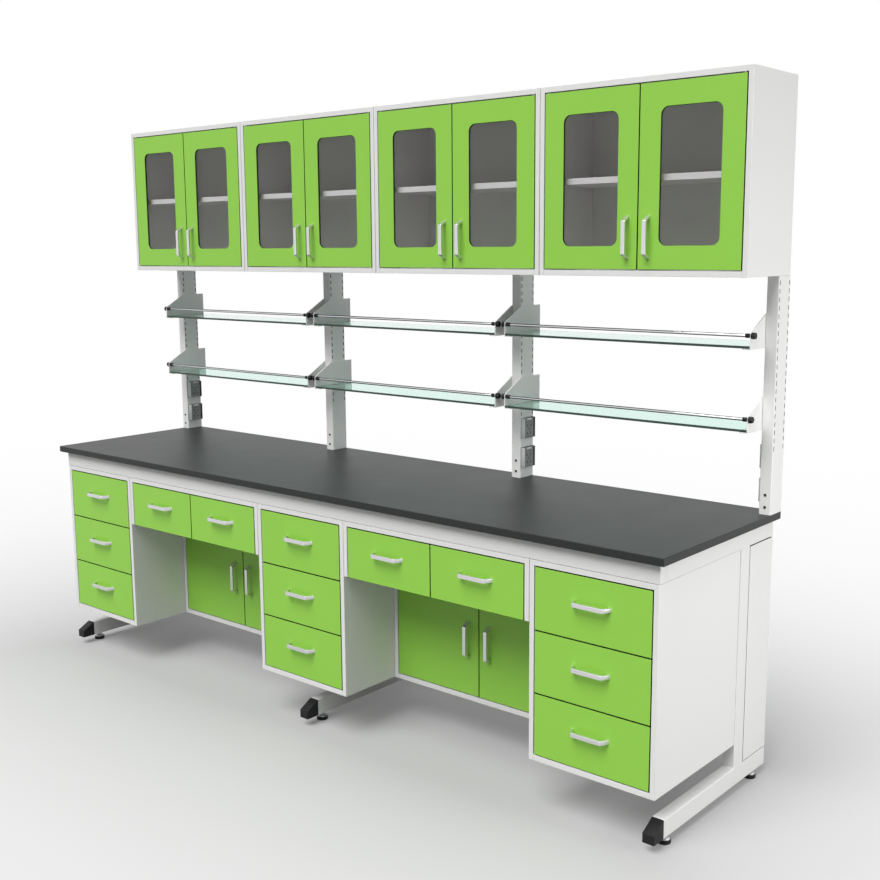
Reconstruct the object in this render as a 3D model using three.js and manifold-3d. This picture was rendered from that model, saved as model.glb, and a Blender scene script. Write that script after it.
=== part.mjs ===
import * as THREE from 'three';
import { mergeVertices } from 'three/addons/utils/BufferGeometryUtils.js';
import Module from 'manifold-3d';

// Laboratory bench, 3 m long: a C-frame with hung drawer units and kneehole units,
// a reagent rack of slotted posts with glass shelves, and glazed cabinets on the posts.
// Millimetres, +Z up, the working side faces -Y.

// Overall sizes
const BENCH_LENGTH = 3000;
const WORKTOP_DEPTH = 750;
const WORKTOP_HEIGHT = 900;
const WORKTOP_THICKNESS = 25;
const WORKTOP_OVERHANG = 25;
const WORKTOP_CHAMFER = 2;
const OVERALL_HEIGHT = 2260;

// Fits
const SEAT_GAP = 0.3;
const REVEAL = 3;
const WELD = 1;
const CUT = 5;
const MERGE_TOLERANCE = 1e-4;

// Boards of the carcasses
const BOARD = 18;
const BACK_BOARD = 8;
const CARCASS_DEPTH = 500;
const CARCASS_BOTTOM = 170;

// Steel frame
const TUBE_WIDTH = 40;
const TUBE_HEIGHT = 60;
const TUBE_WALL = 2.5;
const FOOT_RAIL_BOTTOM = 30;
const FOOT_RAIL_SETBACK = 55;
const FRAME_REAR_INSET = 2;
const CAP_NOSE_HEIGHT = 30;
const END_PANEL_SEAM = 2;

// Levelling feet
const FOOT_SETBACK = 38;
const FOOT_REAR_SETBACK = 66;
const FOOT_PAD_RADIUS = 21;
const FOOT_PAD_HEIGHT = 9;
const FOOT_NECK_RADIUS = 8;
const FOOT_NECK_BASE = 19;
const FOOT_NUT_RADIUS = 11;
const FOOT_NUT_HEIGHT = 8;
const FOOT_SIDES = 8;

// Drawer pedestals
const PEDESTALS = 3;
const PEDESTAL_WIDTH = 450;
const PEDESTAL_DRAWERS = 3;

// Kneehole units
const KNEE_DRAWER_HEIGHT = 200;
const KNEE_RECESS = 256;
const KNEE_DRAWERS = 2;
const KNEE_UNITS = PEDESTALS - 1;

// Drawers
const FRONT_THICKNESS = 18;
const TRAY_LENGTH = 440;
const TRAY_SIDE = 12;
const TRAY_FLOOR = 8;
const TRAY_BOTTOM_GAP = 14;
const TRAY_TOP_GAP = 40;
const DRAWER_HANDLE_RISE = 15;

// Drawer runners: a fixed channel on the carcass, a tongue on the tray
const RUNNER_SPACE = 13;
const CHANNEL_WEB = 2;
const CHANNEL_LIP = 3;
const CHANNEL_DEPTH = 10;
const TONGUE_HEIGHT = 20;
const RUNNER_RISE = 40;

// Bow handles
const HANDLE_SPACING = 128;
const HANDLE_PROJECTION = 28;
const HANDLE_WIDTH = 12;
const HANDLE_THICKNESS = 8;
const HANDLE_LEAN = 30;
const HANDLE_BEND = 3;
const HANDLE_CHAMFER = 1.5;
const HANDLE_ROOT = 4;

// Pivot hinges
const PIVOT_FROM_EDGE = 9;
const PIVOT_FROM_FACE = 6;
const PIVOT_RADIUS = 3;
const PIVOT_DEPTH = 8;
const PIVOT_SIDES = 8;

// Doors
const DOORS = 2;
const DOOR_THICKNESS = 18;
const KNEE_HANDLE_INSET = 45;
const WALL_HANDLE_INSET = 36;
const WALL_HANDLE_RISE = 99;

// Overhead cabinets
const WALL_CABINETS = 4;
const WALL_CABINET_DEPTH = 300;
const WALL_CABINET_HEIGHT = 605;
const WALL_SHELF_THICKNESS = 20;
const WALL_SHELF_SETBACK = 30;
const WINDOW_MARGIN = 74;
const WINDOW_RADIUS = 25;
const WINDOW_CORNER_STEPS = 3;
const PANE_THICKNESS = 4;
const PANE_GROOVE = 8;
const PANE_SETBACK = 8;

// Rack posts
const POSTS = 4;
const POST_WIDTH = 40;
const POST_DEPTH = 80;
const POST_WALL = 2;
const POST_FLANGE = 12;
const SLOT_PITCH = 26;
const SLOT_HEIGHT = 15;
const SLOT_WIDTH = 4;
const SLOT_EDGE = 6;
const SLOT_START = 214;
const SLOT_TOP_MARGIN = 20;

// Sockets on the post sides
const SOCKET_WIDTH = 76;
const SOCKET_HEIGHT = 75;
const SOCKET_THICKNESS = 10;
const SOCKET_BEVEL = 12;
const SOCKET_CENTRES = [76, 185.5];

// Shelf brackets, guard rails and glass shelves
const SHELF_SHARES = [0.15, 0.62];
const BRACKET_REACH = 100;
const BRACKET_TAIL = 35;
const BRACKET_HEIGHT = 103;
const BRACKET_NOSE = 47;
const BRACKET_THICKNESS = 3;
const BRACKET_LEDGE = 25;
const BRACKET_LUG_RISE = 17;
const LUG_STEPS = [0, 2];
const LUG_HEIGHT = 10;
const LUG_LENGTH = 14;
const GLASS_THICKNESS = 8;
const RAIL_RADIUS = 5;
const RAIL_RISE = 40;
const RAIL_SETBACK = 8;
const RAIL_SIDES = 8;
const SLEEVE_RADIUS = 7;
const SLEEVE_LENGTH = 18;
const KNOB_RADIUS = 13;
const KNOB_VALLEY = 10;
const KNOB_LOBES = 6;
const KNOB_LENGTH = 14;

// Places that follow from the sizes above
const FRAME_HALF = BENCH_LENGTH / 2 - WORKTOP_OVERHANG;
const FRONT_Y = WORKTOP_OVERHANG;
const FRAME_TOP = WORKTOP_HEIGHT - WORKTOP_THICKNESS;
const APRON_BOTTOM = FRAME_TOP - TUBE_HEIGHT;
const UPRIGHT_Y = FRONT_Y + CARCASS_DEPTH;
const FRAME_BACK = WORKTOP_DEPTH - FRAME_REAR_INSET;
const KNEE_WIDTH = (2 * FRAME_HALF - PEDESTALS * PEDESTAL_WIDTH) / KNEE_UNITS;
const KNEE_SPLIT = APRON_BOTTOM - KNEE_DRAWER_HEIGHT;
const WALL_CABINET_BOTTOM = OVERALL_HEIGHT - WALL_CABINET_HEIGHT;
const WALL_CABINET_WIDTH = BENCH_LENGTH / WALL_CABINETS;
const POST_FRONT = WORKTOP_DEPTH - POST_DEPTH;
const POST_HEIGHT = WALL_CABINET_BOTTOM - WORKTOP_HEIGHT;
const POST_PITCH = (BENCH_LENGTH - POST_WIDTH) / (POSTS - 1);
const SLOT_ROWS = Math.floor((POST_HEIGHT - SLOT_START - SLOT_TOP_MARGIN) / SLOT_PITCH) + 1;
const SHELF_ROWS = SHELF_SHARES.map((share) => Math.round(share * SLOT_ROWS));
const BRACKET_FRONT = POST_FRONT - BRACKET_REACH;
const BRACKET_BACK = WORKTOP_DEPTH + BRACKET_TAIL;
const HANDLE_FRONT = FRONT_Y - HANDLE_PROJECTION;
const MID_DEPTH = (HANDLE_FRONT + BRACKET_BACK) / 2;

const wasm = await Module();
wasm.setup();

// A closed three.js geometry as a solid, and back
function solid(geometry) {
  const bare = geometry.clone();
  bare.deleteAttribute('normal');
  bare.deleteAttribute('uv');
  const merged = mergeVertices(bare, MERGE_TOLERANCE);
  const mesh = new wasm.Mesh({
    numProp: 3,
    vertProperties: new Float32Array(merged.attributes.position.array),
    triVerts: new Uint32Array(merged.index.array),
  });
  return new wasm.Manifold(mesh);
}

function geometryOf(body) {
  const mesh = body.getMesh();
  const geometry = new THREE.BufferGeometry();
  geometry.setAttribute('position', new THREE.BufferAttribute(mesh.vertProperties, 3));
  geometry.setIndex(new THREE.BufferAttribute(mesh.triVerts, 1));
  geometry.computeVertexNormals();
  return geometry;
}

const join = (bodies) => bodies.reduce((sum, body) => sum.add(body));
const carve = (body, tools) => tools.reduce((rest, tool) => rest.subtract(tool), body);

// A box between two corners
function block(x0, x1, y0, y1, z0, z1) {
  const box = new THREE.BoxGeometry(Math.abs(x1 - x0), Math.abs(y1 - y0), Math.abs(z1 - z0));
  box.translate((x0 + x1) / 2, (y0 + y1) / 2, (z0 + z1) / 2);
  return solid(box);
}

// Outlines drawn in a plane and carried along the third axis
const AXES = {
  X: new THREE.Vector3(1, 0, 0),
  Y: new THREE.Vector3(0, 1, 0),
  Z: new THREE.Vector3(0, 0, 1),
};

function extrude(shape, depth, basis, origin) {
  const geometry = new THREE.ExtrudeGeometry(shape, { depth, bevelEnabled: false });
  geometry.applyMatrix4(basis.clone().setPosition(origin));
  return solid(geometry);
}

const outline = (points) => new THREE.Shape(points.map(([a, b]) => new THREE.Vector2(a, b)));
const ALONG_X = new THREE.Matrix4().makeBasis(AXES.Y, AXES.Z, AXES.X);
const ALONG_Y = new THREE.Matrix4().makeBasis(AXES.Z, AXES.X, AXES.Y);
const ALONG_Z = new THREE.Matrix4();

// (y, z) outline from x0 to x1; (z, x) outline from y0 to y1; (x, y) outline from z0 to z1
function prismX(points, x0, x1) {
  return extrude(outline(points), x1 - x0, ALONG_X, new THREE.Vector3(x0, 0, 0));
}

function prismY(points, y0, y1) {
  return extrude(outline(points), y1 - y0, ALONG_Y, new THREE.Vector3(0, y0, 0));
}

function prismZ(points, z0, z1) {
  return extrude(outline(points), z1 - z0, ALONG_Z, new THREE.Vector3(0, 0, z0));
}

// Corners of a regular or lobed ring
function ring(count, radiusAt, phase = 0) {
  return Array.from({ length: count }, (_, i) => {
    const angle = phase + (2 * Math.PI * i) / count;
    return [radiusAt(i) * Math.cos(angle), radiusAt(i) * Math.sin(angle)];
  });
}

const shifted = (points, da, db) => points.map(([a, b]) => [a + da, b + db]);

// Flat bar bent to a trapezoid: splayed legs out of the face at y = 0, bar in front of it
function bowHandle(along, centre) {
  const lean = THREE.MathUtils.degToRad(HANDLE_LEAN);
  const splay = (height) => (HANDLE_PROJECTION - height) * Math.tan(lean);
  const legWidth = HANDLE_THICKNESS / Math.cos(lean);
  const outer = HANDLE_SPACING / 2 + legWidth / 2 - splay(0);
  const inner = outer - legWidth;
  const under = HANDLE_PROJECTION - HANDLE_THICKNESS;
  const half = [
    [inner + splay(under), under],
    [inner + splay(-HANDLE_ROOT), -HANDLE_ROOT],
    [outer + splay(-HANDLE_ROOT), -HANDLE_ROOT],
    [outer + splay(HANDLE_PROJECTION - HANDLE_BEND), HANDLE_PROJECTION - HANDLE_BEND],
    [outer - HANDLE_BEND, HANDLE_PROJECTION],
  ];
  const mirrored = half.map(([a, b]) => [-a, b]).reverse();
  const geometry = new THREE.ExtrudeGeometry(outline([...half, ...mirrored]), {
    depth: HANDLE_WIDTH - 2 * HANDLE_CHAMFER,
    bevelSize: HANDLE_CHAMFER,
    bevelThickness: HANDLE_CHAMFER,
    bevelOffset: -HANDLE_CHAMFER,
    bevelSegments: 1,
  });
  const outward = AXES.Y.clone().negate();
  const across = new THREE.Vector3().crossVectors(along, outward);
  const start = centre.clone().addScaledVector(across, HANDLE_CHAMFER - HANDLE_WIDTH / 2);
  geometry.applyMatrix4(new THREE.Matrix4().makeBasis(along, outward, across).setPosition(start));
  return solid(geometry);
}

// Materials
const paint = (color, roughness, metalness) => {
  return new THREE.MeshStandardMaterial({ color, roughness, metalness, flatShading: true });
};
const whiteCoat = paint(0xe9e9e7, 0.55, 0.1);
const postCoat = paint(0xe2e2e0, 0.5, 0.1);
const green = paint(0x8fca51, 0.45, 0.0);
const darkTop = paint(0x343537, 0.45, 0.0);
const glass = new THREE.MeshStandardMaterial({
  color: 0xcfe6dd,
  roughness: 0.05,
  metalness: 0,
  transparent: true,
  opacity: 0.4,
});

function piece(name, geometry, material, x = 0, y = 0, z = 0) {
  const mesh = new THREE.Mesh(geometry, material);
  mesh.name = name;
  mesh.position.set(x, y, z);
  return mesh;
}

// Worktop slab with chamfered edges
function makeWorktop() {
  const half = BENCH_LENGTH / 2;
  const slab = outline([[-half, 0], [half, 0], [half, WORKTOP_DEPTH], [-half, WORKTOP_DEPTH]]);
  const geometry = new THREE.ExtrudeGeometry(slab, {
    depth: WORKTOP_THICKNESS - SEAT_GAP - 2 * WORKTOP_CHAMFER,
    bevelThickness: WORKTOP_CHAMFER,
    bevelSize: WORKTOP_CHAMFER,
    bevelOffset: -WORKTOP_CHAMFER,
    bevelSegments: 1,
  });
  geometry.translate(0, 0, FRAME_TOP + SEAT_GAP + WORKTOP_CHAMFER);
  return piece('worktop', geometryOf(solid(geometry)), darkTop);
}

// Outline of a C-frame in (y, z), drawn in by the wall for its hollow
function frameOutline(inset, rearEnd) {
  const railFront = FRONT_Y + FOOT_RAIL_SETBACK + inset;
  const railTop = FOOT_RAIL_BOTTOM + TUBE_HEIGHT - inset;
  const railBottom = FOOT_RAIL_BOTTOM + inset;
  const uprightFront = UPRIGHT_Y + inset;
  const uprightBack = UPRIGHT_Y + TUBE_HEIGHT - inset;
  const armBottom = APRON_BOTTOM + inset;
  const armTop = FRAME_TOP - inset;
  return [
    [railFront, railBottom],
    [rearEnd, railBottom],
    [rearEnd, railTop],
    [uprightBack, railTop],
    [uprightBack, armBottom],
    [FRAME_BACK - inset, armBottom],
    [FRAME_BACK - inset, armTop],
    [FRONT_Y + inset, armTop],
    [FRONT_Y + inset, armBottom],
    [uprightFront, armBottom],
    [uprightFront, railTop],
    [railFront, railTop],
  ];
}

// Wedge cap on the front end of a foot rail
function capOutline() {
  const rear = FRONT_Y + FOOT_RAIL_SETBACK;
  const top = FOOT_RAIL_BOTTOM + TUBE_HEIGHT;
  return [
    [FRONT_Y, FOOT_RAIL_BOTTOM],
    [rear + WELD, FOOT_RAIL_BOTTOM],
    [rear + WELD, top],
    [rear, top],
    [FRONT_Y, FOOT_RAIL_BOTTOM + CAP_NOSE_HEIGHT],
  ];
}

// Levelling foot turned about its stem: pad, neck and lock nut under the rail
function levellingFoot(x, y) {
  const nutBase = FOOT_RAIL_BOTTOM - FOOT_NUT_HEIGHT;
  const profile = [
    [0, 0],
    [FOOT_PAD_RADIUS, 0],
    [FOOT_PAD_RADIUS, FOOT_PAD_HEIGHT],
    [FOOT_NECK_RADIUS, FOOT_NECK_BASE],
    [FOOT_NECK_RADIUS, nutBase],
    [FOOT_NUT_RADIUS, nutBase],
    [FOOT_NUT_RADIUS, FOOT_RAIL_BOTTOM + WELD],
    [0, FOOT_RAIL_BOTTOM + WELD],
  ].map(([r, z]) => new THREE.Vector2(r, z));
  const turned = new THREE.LatheGeometry(profile, FOOT_SIDES);
  turned.rotateX(Math.PI / 2);
  turned.translate(x, y, 0);
  return solid(turned);
}

// Hollow cross rail between the end frames, over the full length
function crossRail(y0, z0, inset) {
  const end = FRAME_HALF - inset;
  const y1 = y0 + TUBE_WIDTH - inset;
  const z1 = z0 + TUBE_HEIGHT - inset;
  return block(-end, end, y0 + inset, y1, z0 + inset, z1);
}

function makeFrame() {
  const legs = [-1, 0, 1].map((side) => side * (FRAME_HALF - TUBE_WIDTH / 2));
  const rails = [
    [FRONT_Y, APRON_BOTTOM],
    [FRAME_BACK - TUBE_WIDTH, APRON_BOTTOM],
    [UPRIGHT_Y + TUBE_HEIGHT - TUBE_WIDTH, CARCASS_BOTTOM],
  ];
  const steel = [];
  const hollows = [];
  for (const x of legs) {
    const outer = TUBE_WIDTH / 2;
    const inner = outer - TUBE_WALL;
    steel.push(prismX(frameOutline(0, FRAME_BACK), x - outer, x + outer));
    hollows.push(prismX(frameOutline(TUBE_WALL, FRAME_BACK + CUT), x - inner, x + inner));
  }
  for (const [y, z] of rails) {
    steel.push(crossRail(y, z, 0));
    hollows.push(crossRail(y, z, TUBE_WALL));
  }
  const parts = [carve(join(steel), hollows)];
  for (const x of legs) {
    parts.push(prismX(capOutline(), x - TUBE_WIDTH / 2, x + TUBE_WIDTH / 2));
    parts.push(levellingFoot(x, FRONT_Y + FOOT_RAIL_SETBACK + FOOT_SETBACK));
    parts.push(levellingFoot(x, FRAME_BACK - FOOT_REAR_SETBACK));
  }
  for (const side of [-1, 1]) {
    const inner = side * (FRAME_HALF - BOARD);
    const panelFront = UPRIGHT_Y + TUBE_HEIGHT - WELD;
    const panelBottom = FOOT_RAIL_BOTTOM + TUBE_HEIGHT + END_PANEL_SEAM;
    parts.push(block(side * FRAME_HALF, inner, panelFront, FRAME_BACK, panelBottom, APRON_BOTTOM + WELD));
  }
  return piece('steel_frame', geometryOf(join(parts)), whiteCoat);
}

// Fixed channel of a runner on the wall at x, opening towards side
function runnerChannel(x, side, z) {
  const wall = x - side * WELD;
  const web = x + side * CHANNEL_WEB;
  const lip = x + side * CHANNEL_DEPTH;
  const low = z - SEAT_GAP;
  const high = z + TONGUE_HEIGHT + SEAT_GAP;
  const section = [
    [low - CHANNEL_LIP, wall],
    [low - CHANNEL_LIP, lip],
    [low, lip],
    [low, web],
    [high, web],
    [high, lip],
    [high + CHANNEL_LIP, lip],
    [high + CHANNEL_LIP, wall],
  ];
  return prismY(section, FRONT_THICKNESS + REVEAL, FRONT_THICKNESS + REVEAL + TRAY_LENGTH);
}

// Drawer with its front face at y = 0: front board, open tray, runner tongues, handle
function makeDrawer(frontWidth, frontHeight, bayWidth, bayShift) {
  const trayHalf = bayWidth / 2 - RUNNER_SPACE;
  const trayBack = FRONT_THICKNESS + TRAY_LENGTH;
  const trayTop = frontHeight - TRAY_TOP_GAP;
  const front = block(-frontWidth / 2, frontWidth / 2, 0, FRONT_THICKNESS, 0, frontHeight);
  const trayLeft = bayShift - trayHalf;
  const trayRight = bayShift + trayHalf;
  const trayFront = FRONT_THICKNESS - WELD;
  const outside = block(trayLeft, trayRight, trayFront, trayBack, TRAY_BOTTOM_GAP, trayTop);
  const inside = block(
    trayLeft + TRAY_SIDE,
    trayRight - TRAY_SIDE,
    FRONT_THICKNESS,
    trayBack - TRAY_SIDE,
    TRAY_BOTTOM_GAP + TRAY_FLOOR,
    trayTop + CUT,
  );
  const reach = RUNNER_SPACE - CHANNEL_WEB - SEAT_GAP;
  const tongueFront = FRONT_THICKNESS + REVEAL;
  const tongueTop = RUNNER_RISE + TONGUE_HEIGHT;
  const left = block(trayLeft - reach, trayLeft + WELD, tongueFront, trayBack, RUNNER_RISE, tongueTop);
  const right = block(trayRight - WELD, trayRight + reach, tongueFront, trayBack, RUNNER_RISE, tongueTop);
  const handle = bowHandle(AXES.X, new THREE.Vector3(0, 0, frontHeight / 2 + DRAWER_HANDLE_RISE));
  return geometryOf(join([front, carve(outside, [inside]), left, right, handle]));
}

// Pedestal: open-fronted box with three pairs of runner channels
function makePedestal(name, centreX) {
  const group = new THREE.Group();
  const width = PEDESTAL_WIDTH - SEAT_GAP;
  const height = APRON_BOTTOM - SEAT_GAP - CARCASS_BOTTOM;
  const depth = CARCASS_DEPTH - SEAT_GAP;
  const bay = width - 2 * BOARD;
  const space = height - 2 * BOARD;
  const frontHeight = (space - (PEDESTAL_DRAWERS + 1) * REVEAL) / PEDESTAL_DRAWERS;
  const shell = block(-width / 2, width / 2, 0, depth, 0, height);
  const hollow = block(-bay / 2, bay / 2, -CUT, depth - BACK_BOARD, BOARD, height - BOARD);
  const parts = [carve(shell, [hollow])];
  const levels = [];
  for (let i = 0; i < PEDESTAL_DRAWERS; i += 1) {
    const z = BOARD + REVEAL + i * (frontHeight + REVEAL);
    levels.push(z);
    parts.push(runnerChannel(-bay / 2, 1, z + RUNNER_RISE));
    parts.push(runnerChannel(bay / 2, -1, z + RUNNER_RISE));
  }
  const drawer = makeDrawer(bay - 2 * REVEAL, frontHeight, bay, 0);
  group.add(piece(`${name}_carcass`, geometryOf(join(parts)), whiteCoat));
  levels.reverse().forEach((z, i) => {
    group.add(piece(`${name}_drawer_${i + 1}`, drawer, green, 0, 0, z));
  });
  group.position.set(centreX, FRONT_Y, CARCASS_BOTTOM);
  return group;
}

// Pivot holes for a door, at the bottom and the top of an opening
function pivotHoles(x, y, low, high) {
  const radius = (PIVOT_RADIUS + SEAT_GAP) / Math.cos(Math.PI / PIVOT_SIDES);
  const hole = shifted(ring(PIVOT_SIDES, () => radius), x, y);
  const depth = PIVOT_DEPTH + SEAT_GAP;
  return [prismZ(hole, low - depth, low + CUT), prismZ(hole, high - CUT, high + depth)];
}

// Door about its pivot line at x = y = 0; side 1 carries its pivots on the left edge
function makeDoor(side, width, height, handleX, handleZ, window) {
  const near = -side * PIVOT_FROM_EDGE;
  const far = near + side * width;
  const face = -PIVOT_FROM_FACE;
  const panel = block(near, far, face, face + DOOR_THICKNESS, 0, height);
  const pin = ring(PIVOT_SIDES, () => PIVOT_RADIUS);
  const lower = prismZ(pin, -REVEAL - PIVOT_DEPTH, WELD);
  const upper = prismZ(pin, height - WELD, height + REVEAL + PIVOT_DEPTH - SEAT_GAP);
  const handle = bowHandle(AXES.Z, new THREE.Vector3(near + side * handleX, face, handleZ));
  const blank = join([panel, lower, upper, handle]);
  return geometryOf(carve(blank, window));
}

// Rounded window and the groove that holds its pane, in door coordinates
function windowTools(side, width, height) {
  const middle = side * (width / 2 - PIVOT_FROM_EDGE);
  const halfWide = width / 2 - WINDOW_MARGIN;
  const corners = [
    [middle + halfWide - WINDOW_RADIUS, height - WINDOW_MARGIN - WINDOW_RADIUS, 0],
    [middle - halfWide + WINDOW_RADIUS, height - WINDOW_MARGIN - WINDOW_RADIUS, 1],
    [middle - halfWide + WINDOW_RADIUS, WINDOW_MARGIN + WINDOW_RADIUS, 2],
    [middle + halfWide - WINDOW_RADIUS, WINDOW_MARGIN + WINDOW_RADIUS, 3],
  ];
  const rounded = corners.flatMap(([x, z, quarter]) => {
    return Array.from({ length: WINDOW_CORNER_STEPS + 1 }, (_, i) => {
      const angle = (Math.PI / 2) * (quarter + i / WINDOW_CORNER_STEPS);
      return [z + WINDOW_RADIUS * Math.sin(angle), x + WINDOW_RADIUS * Math.cos(angle)];
    });
  });
  const face = -PIVOT_FROM_FACE;
  const groove = PANE_GROOVE + SEAT_GAP;
  const grooveFront = face + PANE_SETBACK - SEAT_GAP;
  const slot = block(
    middle - halfWide - groove,
    middle + halfWide + groove,
    grooveFront,
    grooveFront + PANE_THICKNESS + 2 * SEAT_GAP,
    WINDOW_MARGIN - groove,
    height - WINDOW_MARGIN + groove,
  );
  return [prismY(rounded.reverse(), face - CUT, face + DOOR_THICKNESS + CUT), slot];
}

function makePane(side, width, height) {
  const middle = side * (width / 2 - PIVOT_FROM_EDGE);
  const halfWide = width / 2 - WINDOW_MARGIN + PANE_GROOVE;
  const front = PANE_SETBACK - PIVOT_FROM_FACE;
  const low = WINDOW_MARGIN - PANE_GROOVE;
  const high = height - WINDOW_MARGIN + PANE_GROOVE;
  return geometryOf(block(middle - halfWide, middle + halfWide, front, front + PANE_THICKNESS, low, high));
}

// Kneehole unit: two drawers under the worktop, a cupboard set back below them
function makeKnee(name, centreX) {
  const group = new THREE.Group();
  const width = KNEE_WIDTH - SEAT_GAP;
  const depth = CARCASS_DEPTH - SEAT_GAP;
  const height = APRON_BOTTOM - SEAT_GAP - CARCASS_BOTTOM;
  const split = KNEE_SPLIT - CARCASS_BOTTOM;
  const clear = width - 2 * BOARD;
  const inside = depth - BACK_BOARD;
  const profile = [
    [0, split],
    [KNEE_RECESS, split],
    [KNEE_RECESS, 0],
    [depth, 0],
    [depth, height],
    [0, height],
  ];
  const cupboardTop = split - BOARD;
  const hollows = [
    block(-clear / 2, clear / 2, -CUT, KNEE_RECESS, split - CUT, height - BOARD),
    block(-clear / 2, clear / 2, KNEE_RECESS - CUT, inside, split, height - BOARD),
    block(-clear / 2, clear / 2, KNEE_RECESS - CUT, inside, BOARD, cupboardTop),
  ];
  const doorWidth = (clear - (DOORS + 1) * REVEAL) / DOORS;
  const doorHeight = cupboardTop - BOARD - 2 * REVEAL;
  const pivotX = clear / 2 - REVEAL - PIVOT_FROM_EDGE;
  const pivotY = KNEE_RECESS + PIVOT_FROM_FACE;
  for (const side of [-1, 1]) {
    hollows.push(...pivotHoles(side * pivotX, pivotY, BOARD, cupboardTop));
  }
  const dividerFront = FRONT_THICKNESS + REVEAL;
  const divider = block(-BOARD / 2, BOARD / 2, dividerFront, inside + WELD, split, height - BOARD + WELD);
  const parts = [carve(prismX(profile, -width / 2, width / 2), hollows), divider];
  const bay = (clear - BOARD) / KNEE_DRAWERS;
  const runnerZ = split + RUNNER_RISE;
  for (const side of [-1, 1]) {
    parts.push(runnerChannel((side * clear) / 2, -side, runnerZ));
    parts.push(runnerChannel((side * BOARD) / 2, side, runnerZ));
  }
  group.add(piece(`${name}_carcass`, geometryOf(join(parts)), whiteCoat));

  const frontWidth = (clear - (KNEE_DRAWERS + 1) * REVEAL) / KNEE_DRAWERS;
  const frontHeight = height - BOARD - REVEAL - split;
  const frontX = (frontWidth + REVEAL) / 2;
  const bayX = (bay + BOARD) / 2;
  const handleX = doorWidth - KNEE_HANDLE_INSET;
  for (const [label, side] of [['left', -1], ['right', 1]]) {
    const drawer = makeDrawer(frontWidth, frontHeight, bay, side * (bayX - frontX));
    group.add(piece(`${name}_drawer_${label}`, drawer, green, side * frontX, 0, split));
    const door = makeDoor(-side, doorWidth, doorHeight, handleX, doorHeight / 2, []);
    group.add(piece(`${name}_door_${label}`, door, green, side * pivotX, pivotY, BOARD + REVEAL));
  }
  group.position.set(centreX, FRONT_Y, CARCASS_BOTTOM);
  return group;
}

// Overhead cabinet: open-fronted box, one shelf, two glazed doors
function makeWallCabinet(name, centreX) {
  const group = new THREE.Group();
  const width = WALL_CABINET_WIDTH - SEAT_GAP;
  const height = WALL_CABINET_HEIGHT;
  const depth = WALL_CABINET_DEPTH;
  const clear = width - 2 * BOARD;
  const inside = depth - BACK_BOARD;
  const hollows = [block(-clear / 2, clear / 2, -CUT, inside, BOARD, height - BOARD)];
  const pivotX = clear / 2 - REVEAL - PIVOT_FROM_EDGE;
  for (const side of [-1, 1]) {
    hollows.push(...pivotHoles(side * pivotX, PIVOT_FROM_FACE, BOARD, height - BOARD));
  }
  const shell = carve(block(-width / 2, width / 2, 0, depth, 0, height), hollows);
  const shelfLow = (height - WALL_SHELF_THICKNESS) / 2;
  const shelfHalf = clear / 2 + WELD;
  const shelfTop = shelfLow + WALL_SHELF_THICKNESS;
  const shelf = block(-shelfHalf, shelfHalf, WALL_SHELF_SETBACK, inside + WELD, shelfLow, shelfTop);
  group.add(piece(`${name}_carcass`, geometryOf(join([shell, shelf])), whiteCoat));

  const doorWidth = (clear - (DOORS + 1) * REVEAL) / DOORS;
  const doorHeight = height - 2 * BOARD - 2 * REVEAL;
  const handleX = doorWidth - WALL_HANDLE_INSET;
  const doorZ = BOARD + REVEAL;
  for (const [label, side] of [['left', -1], ['right', 1]]) {
    const tools = windowTools(-side, doorWidth, doorHeight);
    const door = makeDoor(-side, doorWidth, doorHeight, handleX, WALL_HANDLE_RISE, tools);
    const pane = makePane(-side, doorWidth, doorHeight);
    const x = side * pivotX;
    group.add(piece(`${name}_door_${label}`, door, green, x, PIVOT_FROM_FACE, doorZ));
    group.add(piece(`${name}_pane_${label}`, pane, glass, x, PIVOT_FROM_FACE, doorZ));
  }
  group.position.set(centreX, WORKTOP_DEPTH - depth, WALL_CABINET_BOTTOM);
  return group;
}

// Height of a slot's centre above the worktop
const slotHeight = (row) => SLOT_START + row * SLOT_PITCH;

// Rack post: hollow section slotted through both edge flanges, two sockets on the side given
function makePost(name, centreX, socketSide) {
  const half = POST_WIDTH / 2;
  const top = POST_HEIGHT - SEAT_GAP;
  const tube = block(-half, half, 0, POST_DEPTH, SEAT_GAP, top);
  const bore = block(
    -half + POST_WALL,
    half - POST_WALL,
    POST_FLANGE,
    POST_DEPTH - POST_FLANGE,
    SEAT_GAP - CUT,
    top + CUT,
  );
  const slots = [];
  for (let row = 0; row < SLOT_ROWS; row += 1) {
    const z = slotHeight(row);
    const low = z - SLOT_HEIGHT / 2;
    for (const y of [SLOT_EDGE, POST_DEPTH - SLOT_EDGE]) {
      const near = y - SLOT_WIDTH / 2;
      slots.push(block(-half - CUT, half + CUT, near, near + SLOT_WIDTH, low, low + SLOT_HEIGHT));
    }
  }
  const parts = [carve(tube, [bore, ...slots])];
  for (const z of SOCKET_CENTRES) {
    const wall = socketSide * (half - WELD);
    const face = socketSide * (half + SOCKET_THICKNESS);
    const plate = [
      [wall, 0],
      [face, SOCKET_BEVEL],
      [face, SOCKET_WIDTH - SOCKET_BEVEL],
      [wall, SOCKET_WIDTH],
    ];
    parts.push(prismZ(plate, z - SOCKET_HEIGHT / 2, z + SOCKET_HEIGHT / 2));
  }
  return piece(name, geometryOf(join(parts)), postCoat, centreX, POST_FRONT, WORKTOP_HEIGHT);
}

// Lug of a bracket, resting on the lower edge of a post slot
function bracketLug(side, plateFace, y, slotCentre) {
  const rest = slotCentre - SLOT_HEIGHT / 2 + SEAT_GAP;
  const half = SLOT_WIDTH / 2 - SEAT_GAP;
  const root = plateFace - side * WELD;
  return block(root, plateFace + side * LUG_LENGTH, y - half, y + half, rest, rest + LUG_HEIGHT);
}

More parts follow.
